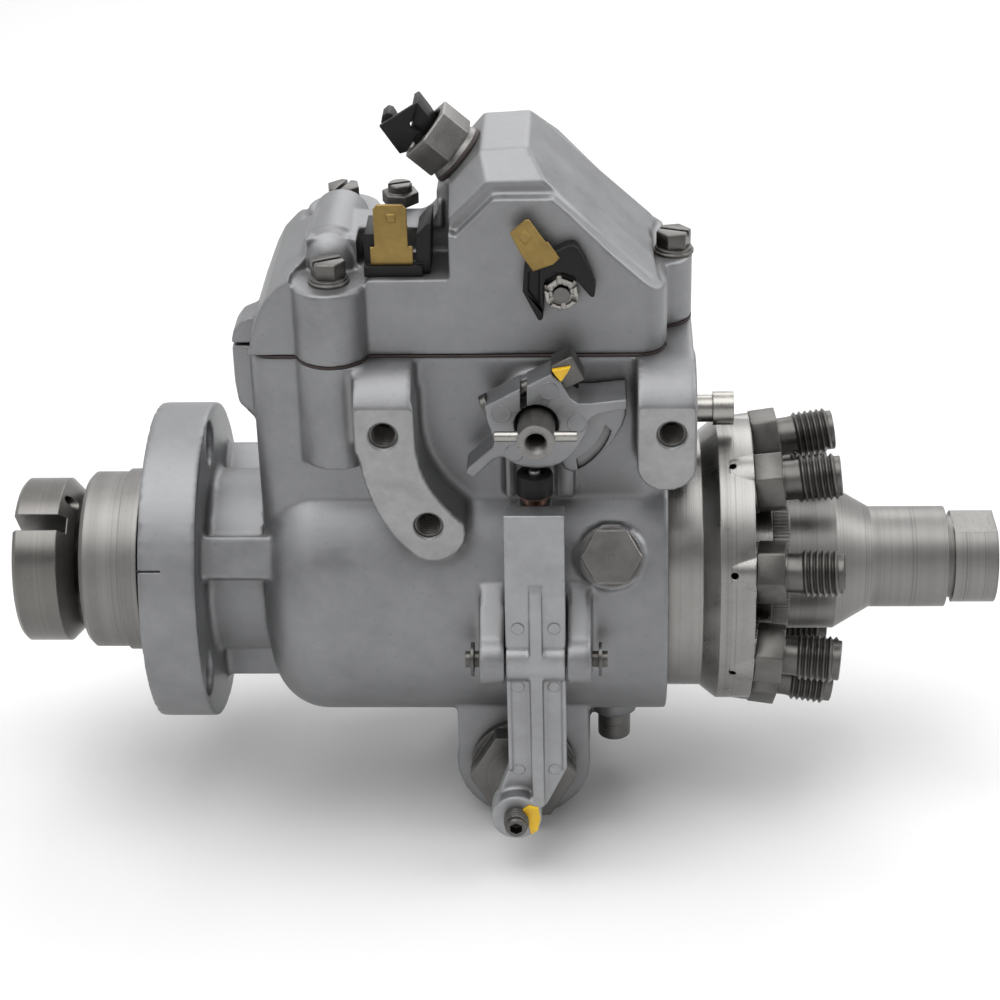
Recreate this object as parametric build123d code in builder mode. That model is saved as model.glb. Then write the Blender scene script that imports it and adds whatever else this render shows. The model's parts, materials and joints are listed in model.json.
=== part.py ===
from build123d import *
from math import cos, radians, sin
import os

# Rotary distributor injection pump for an eight-cylinder diesel engine.
# X is the drive axis, from the drive end to the fuel inlet. Z is up, through the governor cover.
# The origin is the centre of the mounting flange's face. All sizes are in millimetres.

# Fits
running_gap = 0.05
seat_gap = 0.02
free_gap = 0.3

# Mounting flange and pilot
flange_radius = 41.5
flange_thickness = 14.5
bolt_circle_radius = 34.5
bolt_hole_radius = 5.5
bolt_count = 3
pilot_radius = 23.25
pilot_length = 18.9
pilot_collar_radius = 24.0
pilot_collar_start = 8.5
pilot_groove_width = 3.6
pilot_groove_radius = 21.3
pilot_spigot_radius = 20.0
pilot_spigot_depth = 13.0
pilot_shoulder_radius = 24.8
pilot_shoulder_depth = 1.5
seal_ring_section = 2.6

# Drive line
shaft_radius = 9.5
hub_radius = 21.6
hub_left = -36.5
hub_length = 15.5
hub_chamfer = 4.0
hub_slot_width = 4.6
hub_slot_depth = 13.5
hub_slot_angle = 56.0
hub_dowel_radius = 1.7
hub_dowel_circle = 14.5
hub_stub_radius = 7.5
hub_stub_length = 13.0
bush_wall = 1.6
bush_left = -7.9
bush_right = 12.6
seal_radius = 15.0
seal_width = 4.9
thrust_collar_radius = 13.0
thrust_collar_width = 2.6
shaft_right = 70.0
tang_width = 8.0
tang_length = 5.5

# Housing casting
neck_radius = 24.0
rib_width = 10.6
rib_radius = 33.5
body_left = 30.0
body_right = 132.3
body_radius = 39.5
body_shoulder = 14.0
body_bore_radius = 33.6
cavity_left = 36.5
deck_z = 70.0
deck_left = 29.8
deck_right = 131.6
deck_half_width = 24.4
deck_corner = 6.0
rear_wall_right = 138.2
rear_wall_bottom = 38.5
well_left = 36.5
well_right = 124.0
well_half_width = 18.0
cover_screw_x = 50.5
cover_screw_y = 22.0
cover_boss_radius = 8.0
rear_screw_x = 133.6
rear_boss_x = 129.7
rear_boss_radius = 8.5
pad_face_y = -38.0
pad_hole_radius = 3.3
pad_hole_depth = 12.0
pad_hole_z = 55.3
front_pad_x = 63.1
rear_pad_x = 132.5
low_pad_x = 73.2
low_pad_z = 30.6
pad_width = 14.4
pad_top_z = 62.4

# Hydraulic head and outlets
head_left = 110.0
head_neck_radius = 33.5
head_ring_radius = 36.9
head_cone_left = 141.0
head_cone_right = 145.3
head_right = 154.0
head_nose_radius = 21.0
head_nose_right = 159.4
rotor_bore_radius = 10.0
outlet_count = 8
outlet_seat_x = 155.0
outlet_circle_radius = 30.5
outlet_boss_radius = 7.6
outlet_spigot_radius = 5.0
outlet_spigot_length = 5.5
outlet_neck_radius = 5.0
outlet_cone_radius = 4.2
outlet_bore_depth = 12.0
outlet_tilt = 8.0
outlet_hex = 14.0
outlet_hex_length = 7.0
outlet_thread_radius = 6.0
outlet_thread_length = 11.5
outlet_neck_length = 3.0
outlet_bore_radius = 1.6
vent_hole_radius = 0.9
vent_hole_x = 148.7
lock_screw_x = 118.0
lock_screw_radius = 4.0
lock_screw_tip = 31.0
lock_seat_radius = 40.4
lock_flange_radius = 7.6
lock_flange_height = 2.2
lock_hex = 13.0
lock_hex_height = 6.0
locating_screw_x = 119.0
locating_seat_z = 47.0
locating_head_radius = 4.4
locating_head_height = 8.0
locating_boss_radius = 6.4

# End cap and inlet
cap_radius = 19.0
cap_left = 155.4
cap_spigot_radius = 17.5
cap_knurl_right = 163.8
cap_shoulder = 176.0
cap_waist = 185.5
cap_waist_radius = 13.2
cap_waist_right = 205.0
inlet_right = 218.0
inlet_radius = 12.0
inlet_groove_radius = 10.8
regulator_left = 170.0
regulator_right = 194.0
regulator_radius = 5.5
regulator_length = 12.0
inlet_flat = 21.0
inlet_bore_radius = 6.6
inlet_bore_depth = 14.0

# Governor cover
gasket_thickness = 0.6
cover_shelf_z = 90.2
cover_top_z = 97.0
ridge_radius = 6.3
hump_top_z = 119.4
hump_half_width = 13.0
cover_boss_top_z = 89.1
rear_boss_top_z = 87.1
cover_hole_radius = 2.7
cover_screw_radius = 2.5
cover_screw_hex = 7.5
cover_screw_head = 4.6
washer_radius = 5.0
washer_height = 1.1
return_spigot_radius = 5.0
return_radius = 7.3
return_height = 9.0
return_bore_radius = 4.0
shutoff_x = 66.5
shutoff_y = -7.0
shutoff_radius = 9.5
shutoff_terminal_y = -14.0
terminal_stud_radius = 2.0
advance_terminal_x = 106.3
advance_terminal_z = 87.5

# Throttle
throttle_x = 100.1
throttle_z = 57.9
throttle_shaft_radius = 4.5
lever_face_y = -37.0
lever_plate_y = -31.2
lever_back_y = -28.5
throttle_end_y = -46.6
throttle_rear_y = 29.5
lever_pin_y = -43.0
lever_pin_radius = 0.95
clamp_bolt_radius = 1.7
clamp_head_face = 0.2
clamp_head_flats = 7.0
clamp_head_height = 3.0
clamp_nut_face = 22.5
clamp_nut_flats = 8.0
clamp_nut_height = 3.6

# Advance
advance_x = 95.0
advance_z = -46.0
advance_boss_radius = 17.5
advance_face_y = -28.0
piston_radius = 11.5
piston_front_y = -19.0
piston_rear_y = 14.0
piston_travel = 6.42
piston_pocket_y = 6.2
plug_flange = 2.0
plug_hex = 24.0
plug_hex_height = 5.0
cam_pin_slot_x = 7.0
cam_pin_slot_y = 10.4
cam_pin_neck_radius = 3.0
cam_pin_head_radius = 5.0
cam_pin_ball_radius = 3.2
push_pin_radius = 3.0
push_pin_tip_y = -45.5
push_pin_back = 2.1
advance_spring_radius = 6.2
advance_spring_turns = 3
rocker_x = 99.3
rocker_pin_y = -47.0
rocker_pin_z = -2.0
rocker_pin_radius = 2.0
rocker_pin_left = 81.8
rocker_pin_right = 117.0
rocker_barrel_radius = 5.0
rocker_width = 14.8
rocker_top_z = 36.6
rocker_top_y = -44.0
rocker_end_x = 93.8
rocker_end_y = -51.0
rocker_end_z = -45.7
rocker_end_radius = 6.3
rocker_screw_radius = 3.2
rocker_screw_tip = -58.0
roller_pin_radius = 1.5
ear_thickness = 6.2
ear_radius = 6.2
roller_x = 99.4
roller_radius = 4.5
roller_y = -36.0
roller_bottom_z = 36.4
roller_top_z = 44.5

# Cam ring and pumping plungers
cam_width = 19.0
cam_lobe_radius = 21.0
cam_valley_radius = 7.2
cam_valley_offset = 16.6
roller_shoe_width = 10.0
cam_roller_radius = 4.0
roller_shoe_length = 14.0
shoe_inner_radius = 10.5
shoe_outer_radius = 16.4
cam_roller_offset = 16.7
plunger_radius = 4.2
plunger_inner_radius = 2.5
rotor_radius = 14.0
rotor_right = 165.5
pump_left = 156.0
blade_count = 4
blade_thickness = 2.0
blade_inner_radius = 5.0
liner_radius = 14.5
liner_bore_radius = 11.6
liner_offset = 0.6

# Governor
weight_count = 6
retainer_left = 40.0
retainer_plate = 3.0
retainer_radius = 27.0
weight_pivot_radius = 25.0
weight_inner_radius = 17.0
weight_toe_radius = 13.0
weight_width = 13.0
weight_toe_width = 8.0
weight_right = 54.0
weight_gap = 1.5
retainer_rib_width = 3.0
sleeve_left = 48.3
sleeve_flange = 1.7
sleeve_radius = 16.0
sleeve_tube_radius = 12.5
governor_toe_x = 61.8
governor_toe_radius = 1.5
governor_pivot_x = 66.0
governor_pivot_z = 34.0
governor_pivot_radius = 2.0
governor_barrel_radius = 4.5
governor_arm_half_width = 16.0
governor_fork_thickness = 4.5
governor_plate_thickness = 4.0
governor_plate_half_width = 6.5
link_y = 2.0
link_z = 51.0
link_rod_radius = 1.2
link_eye_radius = 3.0
valve_x = 116.0
valve_y = 10.0
valve_radius = 4.0
valve_bottom_z = 20.3
guide_stud_z = 43.7
guide_stud_radius = 2.3
guide_stud_head_left = 144.0
guide_stud_head_right = 149.3
guide_stud_head_radius = 4.3
spring_radius = 4.4
spring_left = 44.0
spring_turns = 6

# Timing cover on the far side
timing_x = 66.0
timing_face_y = 41.0
timing_length = 34.0
timing_width = 17.0
timing_thickness = 2.4
timing_screw_offset = 12.0
timing_screw_radius = 2.0


ALONG_X = (0, 90, 0)
FROM_FACE = (Align.CENTER, Align.CENTER, Align.MIN)
clamp_plane = Plane(
    origin=(87.0, (lever_face_y + lever_back_y) / 2, 59.1),
    x_dir=(0, 1, 0),
    z_dir=(22.0, 0, 10.7),
)


def turned(steps, bore=0.0):
    """Half section of a turned part about X: steps are (from x, to x, radius)."""
    points = [(steps[0][0], bore)]
    for start, end, radius in steps:
        points.append((start, radius))
        points.append((end, radius))
    points.append((steps[-1][1], bore))
    return Polygon(*points, align=None)


def around_x(angle, radius):
    """Point (y, z) at an angle measured from the front, -Y, towards the top, +Z."""
    return (-radius * cos(radians(angle)), radius * sin(radians(angle)))


with BuildSketch() as deck_outline:
    with Locations(((deck_left + deck_right) / 2, 0)):
        RectangleRounded(deck_right - deck_left, 2 * deck_half_width, deck_corner)
    with Locations((cover_screw_x, cover_screw_y), (cover_screw_x, -cover_screw_y)):
        Circle(cover_boss_radius)
    with Locations((rear_boss_x, 0)):
        Circle(rear_boss_radius)
    
os.makedirs("parts", exist_ok=True)
made = []


def finish(builder, label):
    """Names a finished piece and writes its file."""
    builder.part.label = label
    export_step(builder.part, f"parts/{label}.step")
    made.append(label)


# Main casting
with BuildPart() as housing:
    Cylinder(flange_radius, flange_thickness, rotation=ALONG_X, align=FROM_FACE)
    Cylinder(neck_radius, body_left + 6, rotation=ALONG_X, align=FROM_FACE)
    with BuildSketch(Plane.XZ) as body_section:
        with BuildLine():
            Polyline(
                (body_left, 0),
                (body_left, body_radius),
                (body_right, body_radius),
                (body_right, 0),
                close=True,
            )
        make_face()
        fillet(body_section.vertices().group_by(Axis.Y)[-1].sort_by(Axis.X)[0], body_shoulder)
    revolve(axis=Axis.X)
    # Three ribs stand between the bolt holes
    for rib_angle in (30, 150, 270):
        rib_y, rib_z = around_x(rib_angle, 1)
        rib_plane = Plane(origin=(0, 0, 0), x_dir=(1, 0, 0), z_dir=(0, -rib_z, rib_y))
        with BuildSketch(rib_plane.offset(-rib_width / 2)):
            Polygon(
                (flange_thickness - 1, 0),
                (flange_thickness - 1, rib_radius),
                (body_left + 5, rib_radius),
                (body_left + 5, 0),
                align=None,
            )
        extrude(amount=rib_width)
    # Governor well with the deck that the cover seats on
    with BuildSketch(Plane.XY.offset(deck_z)):
        add(deck_outline.sketch)
    extrude(amount=-(deck_z - rear_wall_bottom - 4))
    with BuildSketch(Plane.XY.offset(deck_z - 20)):
        with Locations(((deck_left + deck_right) / 2, 0)):
            RectangleRounded(deck_right - deck_left, 2 * deck_half_width, deck_corner)
    extrude(amount=-(deck_z - 20))
    with BuildSketch(Plane.XY.offset(deck_z)):
        with Locations(((rear_wall_right + rear_pad_x) / 2 - 6, 0)):
            Rectangle(rear_wall_right - rear_pad_x + 12, 2 * deck_half_width - 6)
    extrude(amount=-(deck_z - rear_wall_bottom))
    # Saddle pad for the lever bracket, running down beside the throttle recess
    with BuildSketch(Plane.XZ.offset(deck_half_width - 2)) as saddle_section:
        with BuildLine():
            saddle_left = Spline(
                (front_pad_x - pad_width / 2 + 0.4, pad_top_z),
                (front_pad_x - 5.6, 45.0),
                (low_pad_x - 3.6, low_pad_z - 8.6),
                tangents=[(0, -1), (0.75, -0.66)],
            )
            saddle_end = ThreePointArc(
                saddle_left @ 1,
                (low_pad_x + 6.5, low_pad_z - 8.0),
                (low_pad_x + 9.0, low_pad_z + 0.5),
            )
            saddle_right = Spline(
                saddle_end @ 1,
                (front_pad_x + 9.3, 45.0),
                (front_pad_x + pad_width / 2 + 0.6, pad_top_z),
                tangents=[(-0.75, 0.66), (0, 1)],
            )
            Line(saddle_right @ 1, saddle_left @ 0)
        make_face()
    extrude(until=None, amount=-pad_face_y - deck_half_width + 2)
    # Upper shoulders of both pads lean back to the deck
    for pad_centre in (front_pad_x + 0.1, rear_pad_x - 1.1):
        with BuildSketch(Plane.YZ.offset(pad_centre - pad_width / 2)):
            with BuildLine():
                shoulder_line = Polyline(
                    (pad_face_y, pad_top_z),
                    (pad_face_y, pad_top_z - 12),
                    (-deck_half_width + 4, pad_top_z - 12),
                    (-deck_half_width + 4, deck_z),
                    (-deck_half_width, deck_z),
                )
                ThreePointArc(shoulder_line @ 1, (pad_face_y + 4.6, deck_z - 3.0), shoulder_line @ 0)
            make_face()
        extrude(amount=pad_width)
    with BuildSketch(Plane.XZ.offset(deck_half_width - 4)):
        with Locations((rear_pad_x - 1.1, (pad_top_z + 40.2) / 2)):
            RectangleRounded(pad_width, pad_top_z - 40.2, 6.5)
        with Locations((rear_pad_x - 1.1, pad_top_z - 5)):
            Rectangle(pad_width, 10)
    extrude(amount=-pad_face_y - deck_half_width + 4)
    # Throttle shaft boss
    with BuildSketch(Plane.XZ.offset(deck_half_width - 2)):
        with Locations((throttle_x, throttle_z)):
            Circle(8.5)
    extrude(amount=-lever_back_y - deck_half_width + 1.4)
    # Rocker pivot ears
    for side in (-1, 1):
        ear_x = rocker_x + side * (rocker_width / 2 + free_gap + ear_thickness / 2)
        with BuildSketch(Plane.YZ.offset(ear_x - ear_thickness / 2)):
            with Locations((rocker_pin_y, rocker_pin_z)):
                Circle(ear_radius)
            Polygon(
                (rocker_pin_y - 1.2, rocker_pin_z + ear_radius - 0.2),
                (-38, 13.5),
                (-30, 13.5),
                (-30, -9),
                (rocker_pin_y, rocker_pin_z - ear_radius),
                align=None,
            )
        extrude(amount=ear_thickness)
    # Advance cylinder across the bottom
    with BuildSketch(Plane.XZ.offset(-advance_face_y)):
        with Locations((advance_x, advance_z)):
            Circle(advance_boss_radius)
        with Locations((advance_x, advance_z + 14)):
            Rectangle(2 * advance_boss_radius - 1, 28)
    extrude(amount=2 * advance_face_y)
    # Bottom boss for the head locating screw
    with Locations((locating_screw_x, 0, -locating_seat_z)):
        Cylinder(locating_boss_radius, 14, align=FROM_FACE)
    # Spot faces for the two head locking screws
    for screw_angle in (30, 150):
        screw_y, screw_z = around_x(screw_angle, 1)
        screw_plane = Plane(origin=(lock_screw_x, 0, 0), x_dir=(1, 0, 0), z_dir=(0, screw_y, screw_z))
        with BuildSketch(screw_plane.offset(lock_seat_radius)):
            Circle(lock_flange_radius + 0.8)
        extrude(amount=-6)
    # Pad for the timing cover on the far side
    with BuildSketch(Plane.XZ.offset(-timing_face_y)):
        with Locations((timing_x, 0)):
            SlotOverall(timing_length + 2, timing_width + 2)
    extrude(amount=8)
    # Cast lug behind the deck's drive end
    with BuildSketch(Plane.XZ.offset(-6)):
        Polygon(
            (deck_left + 3, 68),
            (deck_left - 3.5, 68),
            (deck_left - 6, 62),
            (deck_left - 5, 50),
            (deck_left + 3, 38),
            align=None,
        )
    extrude(amount=-13)
    # Bores, with a recess in the flange's face for the pilot's shoulder
    Cylinder(
        pilot_shoulder_radius + seat_gap,
        pilot_shoulder_depth,
        rotation=ALONG_X,
        align=FROM_FACE,
        mode=Mode.SUBTRACT,
    )
    with Locations((-1, 0, 0)):
        Cylinder(
            pilot_spigot_radius + seat_gap,
            pilot_spigot_depth + 1.5,
            rotation=ALONG_X,
            align=FROM_FACE,
            mode=Mode.SUBTRACT,
        )
    with Locations((0, 0, 0)):
        Cylinder(16, cavity_left, rotation=ALONG_X, align=FROM_FACE, mode=Mode.SUBTRACT)
    with Locations((cavity_left, 0, 0)):
        Cylinder(
            body_bore_radius,
            body_right - cavity_left + 1,
            rotation=ALONG_X,
            align=FROM_FACE,
            mode=Mode.SUBTRACT,
        )
    with Locations((body_right, 0, 0)):
        Cylinder(
            head_ring_radius + 1.2,
            30,
            rotation=ALONG_X,
            align=FROM_FACE,
            mode=Mode.SUBTRACT,
        )
    with BuildSketch(Plane.XY.offset(deck_z)):
        with Locations(((well_left + well_right) / 2, 0)):
            RectangleRounded(well_right - well_left, 2 * well_half_width, 5)
    extrude(amount=-(deck_z - 20), mode=Mode.SUBTRACT)
    for hole in range(bolt_count):
        hole_y, hole_z = around_x(90 + hole * 360 / bolt_count, bolt_circle_radius)
        with Locations((-1, hole_y, hole_z)):
            Cylinder(
                bolt_hole_radius,
                flange_thickness + 10,
                rotation=ALONG_X,
                align=FROM_FACE,
                mode=Mode.SUBTRACT,
            )
    with Locations((cover_screw_x, cover_screw_y, deck_z), (cover_screw_x, -cover_screw_y, deck_z)):
        Hole(2.6, 16)
    with Locations((rear_screw_x, 0, deck_z)):
        Hole(2.6, 16)
    with BuildSketch(Plane.XZ.offset(-pad_face_y)):
        with Locations(
            (front_pad_x, pad_hole_z),
            (rear_pad_x, pad_hole_z),
            (low_pad_x, low_pad_z),
        ):
            Circle(pad_hole_radius)
    extrude(amount=-pad_hole_depth, mode=Mode.SUBTRACT)
    with BuildSketch(Plane.XZ.offset(60)):
        with Locations((throttle_x, throttle_z)):
            Circle(throttle_shaft_radius + running_gap)
    extrude(amount=-90, mode=Mode.SUBTRACT)
    with BuildSketch(Plane.XZ.offset(50)):
        with Locations((advance_x, advance_z)):
            Circle(piston_radius + running_gap)
    extrude(amount=-100, mode=Mode.SUBTRACT)
    with Locations((advance_x, 0, advance_z)):
        Box(9, 18, 20, align=FROM_FACE, mode=Mode.SUBTRACT)
    with Locations((rocker_x - 20, rocker_pin_y, rocker_pin_z)):
        Cylinder(rocker_pin_radius + seat_gap, 40, rotation=ALONG_X, align=FROM_FACE, mode=Mode.SUBTRACT)
    for screw_angle in (30, 150):
        screw_y, screw_z = around_x(screw_angle, 1)
        screw_plane = Plane(origin=(lock_screw_x, 0, 0), x_dir=(1, 0, 0), z_dir=(0, screw_y, screw_z))
        with BuildSketch(screw_plane.offset(lock_screw_tip - 1)):
            Circle(lock_screw_radius + running_gap)
        extrude(amount=30, mode=Mode.SUBTRACT)
    with BuildSketch(Plane.XY.offset(-lock_screw_tip + 1)):
        with Locations((locating_screw_x, 0)):
            Circle(lock_screw_radius + running_gap)
    extrude(amount=-30, mode=Mode.SUBTRACT)
    with BuildSketch(Plane.XZ.offset(-timing_face_y - 1)):
        with Locations((timing_x - timing_screw_offset, 0), (timing_x + timing_screw_offset, 0)):
            Circle(timing_screw_radius + running_gap)
    extrude(amount=6, mode=Mode.SUBTRACT)
    with Locations((rear_wall_right + 1, 0, guide_stud_z)):
        Cylinder(
            guide_stud_radius + seat_gap,
            20,
            rotation=(0, -90, 0),
            align=FROM_FACE,
            mode=Mode.SUBTRACT,
        )
    with BuildSketch(Plane.XZ.offset(-well_half_width - 4)):
        with Locations((governor_pivot_x, governor_pivot_z)):
            Circle(2.0 + seat_gap)
    extrude(amount=2 * well_half_width + 8, mode=Mode.SUBTRACT)
finish(housing, "housing")

# Pilot tube: the bearing tube that stands out of the flange and centres the pump
with BuildPart() as pilot_tube:
    with BuildSketch(Plane.XZ):
        turned(
            [
                (-pilot_length, -pilot_collar_start, pilot_radius),
                (-pilot_collar_start, -pilot_groove_width, pilot_collar_radius),
                (-pilot_groove_width, 0, pilot_groove_radius),
                (0, pilot_shoulder_depth, pilot_shoulder_radius),
                (pilot_shoulder_depth, pilot_spigot_depth, pilot_spigot_radius),
            ],
            shaft_radius + running_gap + bush_wall + seat_gap,
        )
    revolve(axis=Axis.X)
    with Locations((-pilot_length, 0, 0)):
        Cylinder(
            seal_radius + seat_gap,
            pilot_length + bush_left - free_gap,
            rotation=ALONG_X,
            align=FROM_FACE,
            mode=Mode.SUBTRACT,
        )
    chamfer(pilot_tube.edges().filter_by(GeomType.CIRCLE).sort_by(Axis.X)[0:2].sort_by(Edge.length)[-1], 1.2)
finish(pilot_tube, "pilot_tube")

# O-ring in the pilot's groove
with BuildPart() as pilot_o_ring:
    with BuildSketch(Plane.XZ):
        with Locations((-pilot_groove_width / 2, pilot_groove_radius + seat_gap + seal_ring_section / 2)):
            Circle(seal_ring_section / 2)
    revolve(axis=Axis.X)
finish(pilot_o_ring, "pilot_o_ring")

# Plain bush that the drive shaft runs in
with BuildPart() as drive_bush:
    with BuildSketch(Plane.XZ):
        turned(
            [(bush_left, bush_right, shaft_radius + running_gap + bush_wall)],
            shaft_radius + running_gap,
        )
    revolve(axis=Axis.X)
finish(drive_bush, "drive_bush")

# Two lip seals back to back, outside the bush
with BuildPart() as shaft_seals:
    for seal in range(2):
        seal_left = -pilot_length + free_gap + seal * (seal_width + free_gap / 2)
        with BuildSketch(Plane.XZ):
            turned([(seal_left, seal_left + seal_width, seal_radius)], shaft_radius + running_gap)
        revolve(axis=Axis.X)
finish(shaft_seals, "shaft_seals")

# Drive shaft with its thrust collar, its tang and the stub that carries the hub
hub_right = hub_left + hub_length
collar_left = pilot_spigot_depth + free_gap
slot_plane = Plane(
    origin=(hub_left, 0, 0),
    x_dir=(0, *around_x(hub_slot_angle, 1)),
    z_dir=(1, 0, 0),
)
with BuildPart() as drive_shaft:
    with BuildSketch(Plane.XZ):
        turned(
            [
                (hub_right - hub_stub_length, hub_right, hub_stub_radius),
                (hub_right, collar_left, shaft_radius),
                (collar_left, collar_left + thrust_collar_width, thrust_collar_radius),
                (collar_left + thrust_collar_width, shaft_right, shaft_radius),
            ]
        )
    revolve(axis=Axis.X)
    with BuildSketch(Plane.YZ.offset(shaft_right)):
        Rectangle(tang_width, 2 * shaft_radius - 1)
    extrude(amount=tang_length)
    with BuildSketch(slot_plane):
        Rectangle(3 * hub_radius, hub_slot_width)
    extrude(amount=hub_slot_depth, mode=Mode.SUBTRACT)
finish(drive_shaft, "drive_shaft")

# Drive hub, slotted across its outer face for the timing advance coupling
with BuildPart() as drive_hub:
    with BuildSketch(Plane.XZ):
        turned([(hub_left, hub_right, hub_radius)], hub_stub_radius + seat_gap)
    revolve(axis=Axis.X)
    rim_edges = drive_hub.edges().filter_by(GeomType.CIRCLE).group_by(SortBy.RADIUS)[-1]
    chamfer(rim_edges.sort_by(Axis.X)[-1], hub_chamfer)
    rim_edges = drive_hub.edges().filter_by(GeomType.CIRCLE).group_by(SortBy.RADIUS)[-1]
    chamfer(rim_edges.sort_by(Axis.X)[0], hub_chamfer / 4)
    with BuildSketch(slot_plane):
        Rectangle(3 * hub_radius, hub_slot_width)
    extrude(amount=hub_slot_depth, mode=Mode.SUBTRACT)
    with Locations((hub_right - hub_chamfer - 4, *around_x(80, hub_radius - 2.6))):
        Cylinder(hub_dowel_radius, 10, rotation=ALONG_X, align=FROM_FACE, mode=Mode.SUBTRACT)
finish(drive_hub, "drive_hub")

# Weight retainer: a plate with a rib between each pair of governor weights
weight_pitch = 360 / weight_count
with BuildPart() as weight_retainer:
    with BuildSketch(Plane.XZ):
        turned([(retainer_left, retainer_left + retainer_plate, retainer_radius)], shaft_radius + seat_gap)
    revolve(axis=Axis.X)
    for rib in range(weight_count):
        rib_angle = (rib + 0.5) * weight_pitch
        rib_y, rib_z = around_x(rib_angle, 1)
        rib_plane = Plane(origin=(0, 0, 0), x_dir=(1, 0, 0), z_dir=(0, -rib_z, rib_y))
        with BuildSketch(rib_plane.offset(-retainer_rib_width / 2)):
            Polygon(
                (retainer_left + 1, weight_inner_radius + 1),
                (retainer_left + 1, retainer_radius - 0.5),
                (weight_right, retainer_radius - 0.5),
                (weight_right, weight_inner_radius + 1),
                align=None,
            )
        extrude(amount=retainer_rib_width)
finish(weight_retainer, "weight_retainer")

# Six governor weights, each with a toe that pushes the thrust sleeve
weight_left = retainer_left + retainer_plate + weight_gap
for weight in range(weight_count):
    weight_y, weight_z = around_x(weight * weight_pitch, 1)
    weight_plane = Plane(origin=(0, 0, 0), x_dir=(1, 0, 0), z_dir=(0, -weight_z, weight_y))
    with BuildPart() as governor_weight:
        with BuildSketch(weight_plane.offset(-weight_width / 2)):
            Polygon(
                (weight_left, weight_inner_radius),
                (weight_left, weight_pivot_radius),
                (weight_right - 2, weight_pivot_radius),
                (weight_right, weight_pivot_radius - 2),
                (weight_right, weight_inner_radius),
                align=None,
            )
        extrude(amount=weight_width)
        with BuildSketch(weight_plane.offset(-weight_toe_width / 2)):
            Polygon(
                (weight_left, weight_toe_radius + 1.5),
                (weight_left, weight_inner_radius + 0.5),
                (sleeve_left - free_gap, weight_inner_radius + 0.5),
                (sleeve_left - free_gap, weight_toe_radius),
                align=None,
            )
        extrude(amount=weight_toe_width)
    finish(governor_weight, f"governor_weight_{weight + 1}")

# Thrust sleeve between the weights and the governor arm
sleeve_right = governor_toe_x - governor_toe_radius - free_gap
with BuildPart() as thrust_sleeve:
    with BuildSketch(Plane.XZ):
        turned(
            [
                (sleeve_left, sleeve_left + sleeve_flange, sleeve_radius),
                (sleeve_left + sleeve_flange, sleeve_right - sleeve_flange, sleeve_tube_radius),
                (sleeve_right - sleeve_flange, sleeve_right, sleeve_radius - 1),
            ],
            shaft_radius + running_gap,
        )
    revolve(axis=Axis.X)
finish(thrust_sleeve, "thrust_sleeve")

# Governor arm: a fork over the shaft below its pivot, and a plate above it
with BuildPart() as governor_arm:
    with BuildSketch(Plane.XZ.offset(governor_arm_half_width)) as arm_side:
        with BuildLine():
            Polyline(
                (governor_toe_x - governor_toe_radius, 0),
                (governor_pivot_x - governor_barrel_radius, governor_pivot_z),
                (governor_pivot_x + governor_barrel_radius, governor_pivot_z),
                (governor_toe_x + governor_toe_radius, 0),
            )
            ThreePointArc(
                (governor_toe_x + governor_toe_radius, 0),
                (governor_toe_x, -governor_toe_radius),
                (governor_toe_x - governor_toe_radius, 0),
            )
        make_face()
        with Locations((governor_pivot_x, governor_pivot_z)):
            Circle(governor_barrel_radius)
    extrude(amount=-2 * governor_arm_half_width)
    with Locations((governor_pivot_x, 0, -governor_toe_radius)):
        Box(
            30,
            2 * (governor_arm_half_width - governor_fork_thickness),
            governor_pivot_z - governor_barrel_radius + governor_toe_radius,
            align=(Align.CENTER, Align.CENTER, Align.MIN),
            mode=Mode.SUBTRACT,
        )
    with Locations((governor_pivot_x, 0, governor_pivot_z)):
        Box(
            governor_plate_thickness,
            2 * governor_plate_half_width,
            link_z + 3 - governor_pivot_z,
            align=(Align.CENTER, Align.CENTER, Align.MIN),
        )
    with BuildSketch(Plane.YZ.offset(governor_pivot_x + 10)):
        with Locations((0, guide_stud_z)):
            Circle(guide_stud_radius + 1.2)
        with Locations((link_y, link_z)):
            Circle(link_rod_radius + 0.4)
    extrude(amount=-20, mode=Mode.SUBTRACT)
    with Locations((governor_pivot_x, 0, governor_pivot_z)):
        Cylinder(
            governor_pivot_radius + running_gap,
            4 * governor_arm_half_width,
            rotation=(90, 0, 0),
            mode=Mode.SUBTRACT,
        )
finish(governor_arm, "governor_arm")

# Pivot shaft of the governor arm, pressed across the well
with BuildPart() as governor_pivot_shaft:
    with Locations((governor_pivot_x, 0, governor_pivot_z)):
        Cylinder(governor_pivot_radius, 2 * (well_half_width + 3.5), rotation=(90, 0, 0))
finish(governor_pivot_shaft, "governor_pivot_shaft")

# Linkage hook from the governor arm to the metering valve
plate_left = governor_pivot_x - governor_plate_thickness / 2
with BuildPart() as linkage_hook:
    with BuildSketch(Plane.YZ.offset(plate_left - free_gap - 1)):
        with Locations((link_y, link_z)):
            Circle(2.4)
    extrude(amount=1)
    with BuildSketch(Plane.YZ.offset(plate_left - free_gap)):
        with Locations((link_y, link_z)):
            Circle(link_rod_radius)
    extrude(amount=valve_x - link_eye_radius + 0.6 - plate_left + free_gap)
    with BuildSketch(Plane.XY.offset(link_z - link_rod_radius)):
        with Locations((valve_x, link_y)):
            Circle(link_eye_radius)
            Circle(link_eye_radius - 1.3, mode=Mode.SUBTRACT)
    extrude(amount=2 * link_rod_radius)
finish(linkage_hook, "linkage_hook")

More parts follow.
